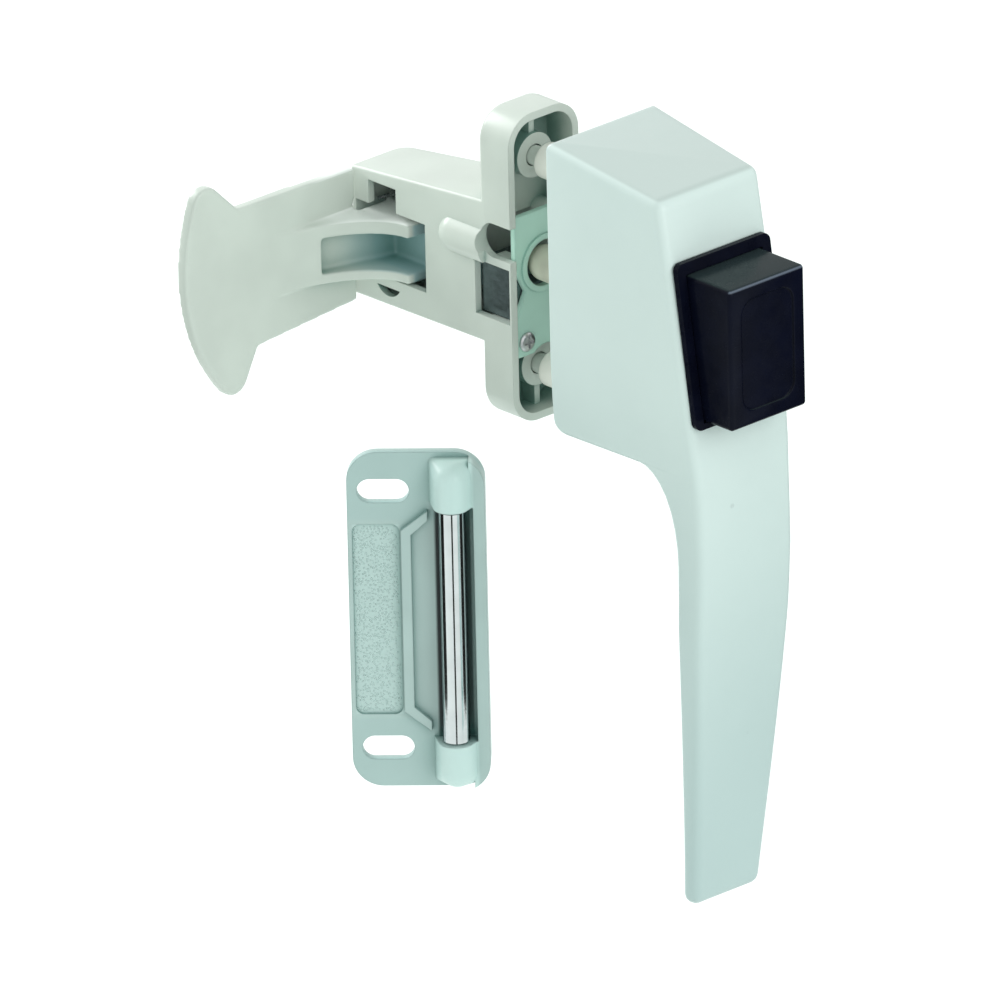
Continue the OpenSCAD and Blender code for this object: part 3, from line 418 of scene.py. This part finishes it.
def joined_copy(node, name):
    """A copy of a CAD node whose loose triangles are joined, so that it can be shaded smooth"""
    work = bmesh.new()
    work.from_mesh(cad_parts[node].data)
    bmesh.ops.remove_doubles(work, verts=work.verts, dist=JOIN_WITHIN)
    work.verts.index_update()
    mesh = bpy.data.meshes.new(name)
    mesh.from_pydata([tuple(v.co) for v in work.verts], [],
                     [[v.index for v in f.verts] for f in work.faces])
    work.free()
    mesh.validate()
    mesh.shade_smooth()
    mesh.set_sharp_from_angle(angle=math.radians(SHARP_ABOVE))
    return mesh


def add_piece(mesh, material):
    piece = bpy.data.objects.new(mesh.name, mesh)
    bpy.context.scene.collection.objects.link(piece)
    mesh.materials.clear()
    mesh.materials.append(material)
    return piece


def baked(piece, name):
    """The piece with its modifiers applied, as a plain mesh in a new object"""
    bpy.context.view_layer.update()
    graph = bpy.context.evaluated_depsgraph_get()
    mesh = bpy.data.meshes.new_from_object(piece.evaluated_get(graph))
    mesh.name = name
    bpy.data.objects.remove(piece)
    made = bpy.data.objects.new(name, mesh)
    bpy.context.scene.collection.objects.link(made)
    return made


def stand_in(piece, node, body=ROOT):
    """The piece rides on the body and is shown in the CAD node's place"""
    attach(piece, body)
    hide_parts(node)


def paint(node, material):
    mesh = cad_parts[node].data
    mesh.materials.clear()
    mesh.materials.append(material)


# Materials

def enamel(name, colour, finish, mottling=0.05, marks=(), dress=None, hollows=1.0, edges=1.0):
    """Baked enamel with a faint orange peel, rubbed marks at the places given and painted shade in
    its hollows and inner corners. dress adds the piece's own tones, most of them painted shade and
    painted light, and hollows and edges scale the finish, where hollows may also be a function that
    gives the scale over the surface"""
    t = Tree(name)
    cloud = t.noise(14 * MM, 2.0)
    tone = t.mix(t.between(cloud, 0.3, 0.7), shade(colour, 1.0 - mottling),
                 shade(colour, 1.0 + mottling * 0.4))
    for place, radius, depth in marks:
        tone = t.mix(t.spot(place, radius) * t.noise(0.4 * MM, 2.0) * depth, tone,
                     shade(colour, 0.35))
    if dress:
        tone = dress(t, tone, colour)
    # Painted shade in the piece's own hollows and inner corners
    if hollows:
        share = hollows(t) if callable(hollows) else hollows
        tone = t.mix(t.depth(finish.hollow_reach) * (finish.hollow_shade * share), tone,
                     tinted(colour, *HOLLOW_SHADE_TINT))
    peel = t.noise(0.9 * MM, 2.0, 0.45)
    fine = t.noise(0.22 * MM, 1.0)
    edge = t.rounded(finish.edge_round * edges) if edges else None
    skin = t.bump(peel * 0.8 + fine * 0.2, finish.skin_grain, edge)
    rough = t.between(t.noise(3.5 * MM, 3.0), 0.25, 0.75, 0.30, 0.40)
    return t.surface(Base_Color=tone, Roughness=rough, Normal=skin, Coat_Weight=0.12,
                     Coat_Roughness=0.2, Specular_IOR_Level=0.4)


def handle_tones(t, tone, colour):
    """Paler screw posts behind the head, partly their own cream and partly painted light; painted
    shade down the grip that fades to painted light on the head; painted shade on the head's top
    """
    height = t.along(ALONG_Z)
    # Painted shade down the grip, fading to painted light on the head
    tone = t.mix(t.between(height, *GRIP_SHADE_Z), tinted(colour, *GRIP_END_SHADE_TINT),
                 t.mix(0.5, tone, tinted(colour, *HEAD_LIGHT_TINT)))
    # Painted shade on the upward faces of the head
    top_shade = t.between(t.upward(), 0.70, 0.92) * t.between(height, *HEAD_TOP_SHADE_Z)
    tone = t.mix(top_shade, tone, tinted(colour, *HEAD_TOP_SHADE_TINT))
    # Posts behind the head: their own pale cream, made whiter as painted light where they lie in
    # shade
    return t.mix(t.between(t.along(ALONG_Y), 0.2, 0.8), tone, POST_CREAM_AND_LIGHT)


def lever_tones(t, tone, colour):
    """Painted shade inside the case and in the pocket between the horns, and a painted highlight on
    the horn's top
    """
    x = t.along(ALONG_X)
    z = t.along(ALONG_Z)
    inside = t.between(x, CASE_SIDE_X + 0.1, CASE_SIDE_X + 1.4)
    inside = inside * t.below(z, HORN_HIGH_Z - 0.7, HORN_HIGH_Z - 0.1)
    # Painted shade on the lever inside the case
    tone = t.mix(inside, tone, LEVER_SHADE)
    # Painted highlight on the upward faces at the upper horn's top
    top = t.between(z, HORN_HIGH_Z - 0.6, HORN_HIGH_Z) * t.between(t.upward(), 0.4, 0.8)
    tone = t.mix(top * t.between(x, CASE_SIDE_X - 14.0, CASE_SIDE_X - 6.0), tone, HORN_TOP_LIGHT)
    # Painted shade in the pocket between the horns
    pocket = t.between(z, POCKET_LOW_Z - 0.5, POCKET_LOW_Z + 0.1)
    pocket = pocket * t.below(z, POCKET_HIGH_Z - 0.1, POCKET_HIGH_Z + 0.5)
    pocket = pocket * t.between(x, CASE_SIDE_X - 9.0, CASE_SIDE_X + 1.0, 0.0, 0.8)
    return t.mix(pocket, tone, LEVER_SHADE)


def lever_hollows(t):
    """Painted shade in hollows falls below the upper horn's top alone, because what lies above it is
    open
    """
    return t.below(t.along(ALONG_Z), HORN_HIGH_Z - 1.0, HORN_HIGH_Z - 0.2)


def strike_tones(t, tone, colour):
    """Painted shade on the plate's ends, painted light on the bosses, and near-black painted shade
    on the floor behind the roller
    """
    out = t.along(STRIKE_FACE, STRIKE_MID)
    across = t.along(STRIKE_RIGHT, STRIKE_MID)
    up = abs(t.along(ALONG_Z, STRIKE_MID))
    front = t.between(out, *PLATE_OUT)
    # Painted shade on the plate's ends
    ends = t.between(up, *PLATE_END_UP) * t.below(out, *PLATE_END_OUT)
    tone = t.mix(ends * front, tone, tinted(colour, *PLATE_END_SHADE_TINT))
    # Painted light on the bosses
    boss = t.between(out, *BOSS_OUT) * t.between(up, *BOSS_UP)
    boss = boss * t.below(abs(across - ROLLER_ASIDE), *BOSS_ACROSS)
    tone = t.mix(boss, tone, shade(colour, 1.30))
    recess = t.below(abs(across - RECESS_ASIDE), *RECESS_ACROSS)
    tone = t.mix(recess * front * t.below(up, *RECESS_UP), tone, shade(colour, 1.12))
    # Painted shade, near black, on the floor behind the roller, seen beside it and in its reflection
    beside = across - ROLLER_ASIDE
    floor = t.between(beside, *FLOOR_LEFT) * t.below(beside, *FLOOR_RIGHT)
    floor = floor * front * t.below(out, *FLOOR_OUT) * t.below(up, *FLOOR_UP)
    return t.mix(floor, tone, ROLLER_FLOOR_SHADE)


def moulded_plastic(name, colour, edge, rough=0.22, top=None):
    """Moulded plastic, with painted light on its upward faces and a painted highlight on the front
    edge just below the top, if a top is given
    """
    t = Tree(name)
    fine = t.noise(0.16 * MM, 2.0)
    wave = t.noise(6 * MM, 1.0)
    edges = t.rounded(edge)
    skin = t.bump(fine, 0.004 * MM, edges)
    tone = t.mix(t.between(wave, 0.3, 0.7), shade(colour, 0.85), shade(colour, 1.15))
    if top is not None:
        high = t.between(t.along(ALONG_Z, ALONG_Z * top), -2.5, -1.5)
        up = t.axis(edges, "Z")
        # Painted light on the upward faces
        tone = t.mix(t.between(up, 0.6, 0.95), tone, BUTTON_TOP_LIGHT)
        # Painted highlight on the front edge just below the top
        edge_highlight = t.between(up, 0.22, 0.42) * t.below(up, 0.62, 0.85)
        edge_highlight = edge_highlight * t.below(t.axis(edges, "Y"), -0.55, -0.25)
        tone = t.mix(edge_highlight * high, tone, BUTTON_EDGE_HIGHLIGHT)
    shine = t.between(t.noise(2.4 * MM, 3.0), 0.25, 0.75, rough * 0.8, rough * 1.3)
    return t.surface(Base_Color=tone, Roughness=shine, Normal=skin, Specular_IOR_Level=0.09)


def zinc_plate(name, colour, rough=0.34, edge=0.12 * MM):
    """Plated or bare steel with fine streaks and a cloudy bloom"""
    t = Tree(name)
    streak = t.noise(0.5 * MM, 3.0, 0.6, (1.0, 0.12, 1.0))
    bloom = t.noise(2.2 * MM, 4.0, 0.6)
    tone = t.mix(t.between(bloom, 0.3, 0.72), shade(colour, 0.82), shade(colour, 1.05))
    skin = t.bump(streak, 0.003 * MM, t.rounded(edge))
    shine = t.between(streak, 0.3, 0.7, rough * 0.8, rough * 1.25)
    return t.surface(Base_Color=tone, Metallic=1.0, Roughness=shine, Normal=skin)


def drawn_wire(name, colour):
    """Spring steel with faint marks of the drawing die"""
    t = Tree(name)
    line = t.noise(0.3 * MM, 2.0)
    tone = t.mix(t.between(line, 0.3, 0.7), shade(colour, 0.75), shade(colour, 1.1))
    shine = t.between(line, 0.3, 0.7, 0.22, 0.36)
    return t.surface(Base_Color=tone, Metallic=1.0, Roughness=shine,
                     Normal=t.bump(line, 0.003 * MM))


def chrome_tube(name, colour):
    """Chrome with turned rings and a light haze, darker where it is seen at a flat angle"""
    t = Tree(name)
    ring = t.noise(0.35 * MM, 2.0, 0.5, (0.05, 0.05, 1.0))
    haze = t.noise(4 * MM, 2.0)
    tone = t.mix(t.between(haze, 0.3, 0.7), shade(colour, 0.94), shade(colour, 1.02))
    shine = t.between(ring, 0.3, 0.7, 0.06, 0.10)
    return t.surface(Base_Color=tone, Metallic=1.0, Roughness=shine,
                     Specular_Tint=CHROME_EDGE, Normal=t.bump(ring, 0.0015 * MM))


# Node trees for springs and grain

class Graph:
    """A Geometry Nodes tree with named inputs, built one node at a time"""

    def __init__(self, name, inputs):
        self.tree = bpy.data.node_groups.new(name, "GeometryNodeTree")
        face = self.tree.interface
        face.new_socket("Geometry", in_out="INPUT", socket_type="NodeSocketGeometry")
        for label, kind, _ in inputs:
            face.new_socket(label, in_out="INPUT", socket_type=kind)
        face.new_socket("Geometry", in_out="OUTPUT", socket_type="NodeSocketGeometry")
        self.inputs = inputs
        self.source = self.tree.nodes.new("NodeGroupInput")
        self.sink = self.tree.nodes.new("NodeGroupOutput")

    def add(self, kind, settings=None, values=None, out=0):
        """Adds a node and gives one output, or the node itself where out is None"""
        node = self.tree.nodes.new(kind)
        for key, value in (settings or {}).items():
            setattr(node, key, value)
        for key, value in (values or {}).items():
            if isinstance(value, bpy.types.NodeSocket):
                self.tree.links.new(value, node.inputs[key])
            else:
                node.inputs[key].default_value = value
        return node if out is None else node.outputs[out]

    def times(self, a, b):
        return self.add("ShaderNodeMath", {"operation": "MULTIPLY"}, {0: a, 1: b})

    def given(self, label):
        return self.source.outputs[label]

    def close(self, geometry, material):
        real = self.add("GeometryNodeRealizeInstances", None, {"Geometry": geometry})
        done = self.add("GeometryNodeSetMaterial", None, {"Geometry": real, "Material": material})
        self.tree.links.new(done, self.sink.inputs[0])

    def run(self, name, mesh=None):
        """Runs the tree on a mesh and gives the result as a plain mesh in a new object"""
        carrier = bpy.data.objects.new(name + "_carrier", mesh or bpy.data.meshes.new(name))
        bpy.context.scene.collection.objects.link(carrier)
        modifier = carrier.modifiers.new("nodes", "NODES")
        modifier.node_group = self.tree
        sockets = {s.name: s.identifier for s in self.tree.interface.items_tree
                   if s.in_out == "INPUT"}
        for label, _, value in self.inputs:
            modifier[sockets[label]] = value
        return baked(carrier, name)


def spring_graph(name, wire, radius, length, turns, material):
    """A coil along Z whose end turns lie closer together, like a ground spring"""
    g = Graph(name, [("Wire", "NodeSocketFloat", wire), ("Radius", "NodeSocketFloat", radius),
                     ("Length", "NodeSocketFloat", length), ("Turns", "NodeSocketFloat", turns)])
    line = g.add("GeometryNodeCurvePrimitiveLine", None, {1: (0.0, 0.0, 1.0)})
    fine = g.add("GeometryNodeResampleCurve", None,
                 {"Curve": line, "Count": int(turns * POINTS_PER_TURN)})
    step = g.add("GeometryNodeSplineParameter")
    angle = g.times(g.times(step, 2 * math.pi), g.given("Turns"))
    eased = g.add("ShaderNodeMapRange", {"interpolation_type": "SMOOTHSTEP"}, {0: step})
    rise = g.add("ShaderNodeMath", {"operation": "ADD"},
                 {0: g.times(eased, END_EASE), 1: g.times(step, 1 - END_EASE)})
    cos = g.add("ShaderNodeMath", {"operation": "COSINE"}, {0: angle})
    sin = g.add("ShaderNodeMath", {"operation": "SINE"}, {0: angle})
    where = g.add("ShaderNodeCombineXYZ", None,
                  {0: g.times(cos, g.given("Radius")), 1: g.times(sin, g.given("Radius")),
                   2: g.times(rise, g.given("Length"))})
    coil = g.add("GeometryNodeSetPosition", None, {"Geometry": fine, "Position": where})
    round_wire = g.add("GeometryNodeCurvePrimitiveCircle", None,
                       {"Resolution": 12, "Radius": g.times(g.given("Wire"), 0.5)})
    tube = g.add("GeometryNodeCurveToMesh", None,
                 {"Curve": coil, "Profile Curve": round_wire, "Fill Caps": True})
    g.close(g.add("GeometryNodeSetShadeSmooth", None, {"Geometry": tube}), material)
    return g


def grain_graph(name, size, gap, seed, material):
    """Low round pebbles scattered over a flat patch"""
    g = Graph(name, [("Pebble", "NodeSocketFloat", size), ("Gap", "NodeSocketFloat", gap),
                     ("Seed", "NodeSocketInt", seed)])
    scatter = g.add("GeometryNodeDistributePointsOnFaces", {"distribute_method": "POISSON"},
                    {"Mesh": g.given("Geometry"), "Distance Min": g.given("Gap"),
                     "Density Max": PEBBLES_PER_M2, "Seed": g.given("Seed")}, out=None)
    pebble = g.add("GeometryNodeMeshIcoSphere", None,
                   {"Radius": g.times(g.given("Pebble"), 0.5), "Subdivisions": 1})
    flat = g.add("GeometryNodeTransform", None,
                 {"Geometry": pebble, "Scale": (1.0, 1.0, PEBBLE_FLATNESS)})
    vary = g.add("FunctionNodeRandomValue", {"data_type": "FLOAT"},
                 {2: 0.65, 3: 1.1, "Seed": g.given("Seed")}, out=1)
    stand = g.add("GeometryNodeInstanceOnPoints", None,
                  {"Points": scatter.outputs["Points"], "Instance": flat,
                   "Rotation": scatter.outputs["Rotation"], "Scale": vary})
    g.close(g.add("GeometryNodeSetShadeSmooth", None, {"Geometry": stand}), material)
    return g


# One operator for each group of pieces

class LATCH_OT_handle(bpy.types.Operator):
    """Make the outside handle's smooth enamelled casting"""
    bl_idname = "latch.handle"
    bl_label = "Outside handle"

    def execute(self, context):
        finish = context.scene.latch_casting
        coat = enamel("handle_enamel", finish.enamel, finish, 0.02, HANDLE_MARKS, handle_tones,
                      edges=1.3)
        piece = add_piece(joined_copy("handle", "handle_casting"), coat)
        stand_in(piece, "handle")
        steel = zinc_plate("guide_zinc", ZINC)
        paint("guide_plate", steel)
        paint("guide_screws", steel)
        return {"FINISHED"}


class LATCH_OT_button(bpy.types.Operator):
    """Make the push button and its bezel of black moulded plastic"""
    bl_idname = "latch.button"
    bl_label = "Push button and bezel"

    def execute(self, context):
        look = context.scene.latch_button
        black = moulded_plastic("button_plastic", look.plastic, look.edge,
                                top=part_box("push_button")[1][2])
        button = add_piece(joined_copy("push_button", "button_cap"), black)
        stand_in(button, "push_button", "button")
        bezel = add_piece(joined_copy("button_bezel", "bezel_frame"),
                          moulded_plastic("bezel_plastic", look.plastic, 0.25 * MM, 0.3))
        stand_in(bezel, "button_bezel")
        paint("button_plunger", moulded_plastic("rod_nylon", NYLON, 0.2 * MM, 0.4))
        return {"FINISHED"}


class LATCH_OT_springs(bpy.types.Operator):
    """Wind the button's spring and finish the lever's spring"""
    bl_idname = "latch.springs"
    bl_label = "Springs"

    def execute(self, context):
        look = context.scene.latch_springs
        wire = drawn_wire("spring_wire", SPRING_STEEL)
        low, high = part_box("button_spring")
        span = high[1] - low[1]
        radius = (high[0] - low[0] - look.button_wire) / 2
        g = spring_graph("button_coil", look.button_wire, radius, span - look.button_wire,
                         look.button_turns, wire)
        coil = g.run("button_coil")
        turn = Matrix.Rotation(math.radians(-90), 4, "X")
        coil.data.transform(Matrix.Translation((0.0, low[1] + look.button_wire / 2, 0.0)) @ turn)
        stand_in(coil, "button_spring")
        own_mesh(coil)
        paint("lever_spring", wire)
        return {"FINISHED"}


class LATCH_OT_inside(bpy.types.Operator):
    """Make the inside plate with its case, the cover over the bolt, and the bolt"""
    bl_idname = "latch.inside"
    bl_label = "Inside case"

    def execute(self, context):
        finish = context.scene.latch_casting
        coat = enamel("case_enamel", finish.inside_enamel, finish, edges=0.55)
        case = add_piece(joined_copy("inside_case", "case_casting"), coat)
        stand_in(case, "inside_case")
        paint("bolt_cover", enamel("cover_enamel", COVER_GREEN, finish, 0.12))
        paint("latch_bolt", zinc_plate("bolt_steel", BOLT_STEEL, 0.42, 0.3 * MM))
        paint("cover_screws", zinc_plate("screw_zinc", ZINC))
        painted = enamel("screw_enamel", finish.inside_enamel, finish)
        paint("mounting_screw_upper", painted)
        paint("mounting_screw_lower", painted)
        return {"FINISHED"}


class LATCH_OT_lever(bpy.types.Operator):
    """Make the cast lever, with its edges and hollows rounded as a casting's are"""
    bl_idname = "latch.lever"
    bl_label = "Lever"

    def execute(self, context):
        shape = context.scene.latch_lever
        finish = context.scene.latch_casting
        coat = enamel("lever_enamel", finish.inside_enamel, finish, dress=lever_tones,
                      hollows=lever_hollows)
        rough = add_piece(joined_copy("lever", "lever_rough"), coat)
        grid = rough.modifiers.new("grid", "REMESH")
        grid.mode = "VOXEL"
        grid.voxel_size = shape.voxel
        soft = rough.modifiers.new("soft", "SMOOTH")
        soft.factor = 0.5
        soft.iterations = shape.soften
        lever = baked(rough, "lever_casting")
        self.square_edge(lever.data, shape.edge_reach / MM)
        lever.data.shade_smooth()
        stand_in(lever, "lever", "lever")
        paint("lever_pin", zinc_plate("pin_steel", ZINC))
        return {"FINISHED"}

    def square_edge(self, mesh, reach):
        """Moves the plate's edge beside the case out again, above and below the horns"""
        for vertex in mesh.vertices:
            x, z = vertex.co.x / MM, vertex.co.z / MM
            beyond = max(z - HORN_HIGH_Z, HORN_LOW_Z - z)
            share = min(max((beyond - HORN_CLEAR) / HORN_RAMP, 0.0), 1.0)
            share *= min(max((x - LEVER_EDGE_X + EDGE_BAND) / EDGE_RAMP, 0.0), 1.0)
            vertex.co.x += reach * share * MM


class LATCH_OT_strike(bpy.types.Operator):
    """Make the strike with its grained recess and its chrome roller"""
    bl_idname = "latch.strike"
    bl_label = "Strike and roller"

    def execute(self, context):
        shape = context.scene.latch_strike
        finish = context.scene.latch_casting
        coat = enamel("strike_enamel", finish.strike_enamel, finish, dress=strike_tones)
        plate = add_piece(joined_copy("strike_plate", "strike_casting"), coat)
        stand_in(plate, "strike_plate")
        pale = shade(finish.strike_enamel, 1.12)[:3]
        self.grain(shape, enamel("grain_enamel", pale, finish, hollows=0.0, edges=0.0))
        paint("strike_roller", chrome_tube("roller_chrome", shape.chrome))
        paint("roller_pin", zinc_plate("roller_pin_steel", PIN_STEEL))
        return {"FINISHED"}

    def grain(self, shape, coat):
        """Pebbles on a flat patch in the recess, of which only the pebbles are kept"""
        out = STRIKE_FACE * (PATCH_OUT * MM)
        corners = [STRIKE_MID + STRIKE_RIGHT * (x * MM) + out + ALONG_Z * (z * MM)
                   for x, z in ((PATCH_LEFT, -PATCH_HALF_H), (PATCH_RIGHT, -PATCH_HALF_H),
                                (PATCH_RIGHT, PATCH_HALF_H), (PATCH_LEFT, PATCH_HALF_H))]
        patch = bpy.data.meshes.new("grain_patch")
        patch.from_pydata([tuple(c) for c in corners], [], [(0, 1, 2, 3)])
        g = grain_graph("strike_grain", shape.grain_size, shape.grain_gap, shape.grain_seed, coat)
        grain = g.run("strike_grain", patch)
        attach(grain, ROOT)


class LATCH_OT_stage(bpy.types.Operator):
    """Set the camera, the floor, the even light and the dark flags for the chrome"""
    bl_idname = "latch.stage"
    bl_label = "Stage"

    def execute(self, context):
        light = context.scene.latch_light
        self.camera(context.scene)
        self.floor(light)
        self.sky(context.scene, light)
        self.lamps(light)
        self.flags()
        context.scene.view_settings.view_transform = "Standard"
        return {"FINISHED"}

    def camera(self, scene):
        data = bpy.data.cameras.new("camera")
        data.sensor_width = 36.0
        data.lens = PIXELS_PER_M * CAMERA_DISTANCE / PICTURE_W * data.sensor_width
        data.clip_start = 0.05
        data.clip_end = 40.0
        camera = bpy.data.objects.new("camera", data)
        turn = Matrix((RIGHT, UP, BACK)).transposed()
        camera.matrix_world = Matrix.Translation(AIM + BACK * CAMERA_DISTANCE) @ turn.to_4x4()
        scene.collection.objects.link(camera)
        scene.camera = camera

    def floor(self, light):
        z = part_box("handle")[0][2] - light.floor_drop
        w = FLOOR_HALF_W
        mesh = bpy.data.meshes.new("floor")
        mesh.from_pydata([(-w, -w, z), (w, -w, z), (w, w, z), (-w, w, z)], [], [(0, 1, 2, 3)])
        t = Tree("floor_white")
        ray = t.node("ShaderNodeLightPath", out="Is Camera Ray")
        paper = t.node("ShaderNodeBsdfDiffuse", None, {"Color": FLOOR_PAPER})
        glow = t.node("ShaderNodeEmission", None, {"Color": WHITE, "Strength": FLOOR_GLOW})
        both = t.node("ShaderNodeAddShader", None, {0: paper, 1: glow})
        mixed = t.node("ShaderNodeMixShader", None, {0: ray, 1: paper, 2: both})
        t.node("ShaderNodeOutputMaterial", None, {"Surface": mixed})
        mesh.materials.append(t.owner)
        floor = bpy.data.objects.new("floor", mesh)
        bpy.context.scene.collection.objects.link(floor)

    def sky(self, scene, light):
        """Even light on the object, and plain white for the camera, gloss and clear pieces"""
        scene.world = bpy.data.worlds.new("studio")
        t = Tree("studio", scene.world)
        camera, gloss, clear = (t.node("ShaderNodeLightPath", out=ray) for ray in (
            "Is Camera Ray", "Is Glossy Ray", "Is Transmission Ray"))
        seen = t.node("ShaderNodeMath", {"operation": "MAXIMUM"}, {0: camera, 1: gloss})
        seen = t.node("ShaderNodeMath", {"operation": "MAXIMUM"}, {0: seen, 1: clear})
        even = t.node("ShaderNodeBackground", None, {"Color": SKY_TINT, "Strength": light.sky})
        white = t.node("ShaderNodeBackground", None, {"Color": WHITE, "Strength": 1.0})
        mixed = t.node("ShaderNodeMixShader", None, {0: seen, 1: even, 2: white})
        t.node("ShaderNodeOutputWorld", None, {"Surface": mixed})

    def lamps(self, light):
        for name, place, power in (("key", KEY_PLACE, light.key), ("fill", FILL_PLACE, light.fill)):
            data = bpy.data.lights.new(name, "AREA")
            data.shape = "DISK"
            data.size = LAMP_WIDTH
            data.energy = power
            lamp = bpy.data.objects.new(name, data)
            aim = (place - AIM).to_track_quat("Z", "Y")
            lamp.matrix_world = Matrix.Translation(place) @ aim.to_matrix().to_4x4()
            bpy.context.scene.collection.objects.link(lamp)

    def flags(self):
        """Dark cards left and right of the object, and a slim one before it, for gloss alone"""
        t = Tree("flag_black")
        t.surface(Base_Color=BLACK, Roughness=1.0)
        front = Vector((BACK.x, BACK.y, 0.0)).normalized()
        side = Vector((-front.y, front.x, 0.0))
        near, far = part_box("strike_roller")
        middle = Vector(((near[0] + far[0]) / 2, (near[1] + far[1]) / 2, 0.0))
        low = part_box("handle")[0][2] - FLAG_DROP
        for name, a, b, top in FLAGS:
            p, q = (middle + side * u + front * v for u, v in (a, b))
            mesh = bpy.data.meshes.new(name)
            mesh.from_pydata([(p.x, p.y, low), (q.x, q.y, low), (q.x, q.y, top), (p.x, p.y, top)],
                             [], [(0, 1, 2, 3)])
            mesh.materials.append(t.owner)
            flag = bpy.data.objects.new(name, mesh)
            flag.visible_camera = False
            flag.visible_diffuse = False
            flag.visible_shadow = False
            flag.visible_transmission = False
            bpy.context.scene.collection.objects.link(flag)


class LATCH_PT_pieces(bpy.types.Panel):
    """Lists the latch's pieces in the sidebar"""
    bl_idname = "LATCH_PT_pieces"
    bl_label = "Pushbutton latch"
    bl_space_type = "VIEW_3D"
    bl_region_type = "UI"
    bl_category = "Latch"

    def draw(self, context):
        for piece in PIECES:
            self.layout.operator(piece.bl_idname, text=piece.bl_label)
        for name, _ in GROUPS:
            holder = getattr(context.scene, name)
            for key in holder.bl_rna.properties.keys():
                if key not in {"rna_type", "name"}:
                    self.layout.prop(holder, key)


PIECES = (LATCH_OT_handle, LATCH_OT_button, LATCH_OT_springs, LATCH_OT_inside, LATCH_OT_lever,
          LATCH_OT_strike, LATCH_OT_stage)
GROUPS = (("latch_casting", CastingFinish), ("latch_lever", LeverShape),
          ("latch_button", ButtonFinish), ("latch_springs", SpringShape),
          ("latch_strike", StrikeShape), ("latch_light", StudioLight))


def register():
    for name, group in GROUPS:
        bpy.utils.register_class(group)
        setattr(bpy.types.Scene, name, bpy.props.PointerProperty(type=group))
    for piece in PIECES:
        bpy.utils.register_class(piece)
    bpy.utils.register_class(LATCH_PT_pieces)


def unregister():
    bpy.utils.unregister_class(LATCH_PT_pieces)
    for piece in reversed(PIECES):
        bpy.utils.unregister_class(piece)
    for name, group in reversed(GROUPS):
        delattr(bpy.types.Scene, name)
        bpy.utils.unregister_class(group)


def main():
    register()
    for piece in PIECES:
        family, name = piece.bl_idname.split(".")
        getattr(getattr(bpy.ops, family), name)()


if __name__ == "__main__":
    main()
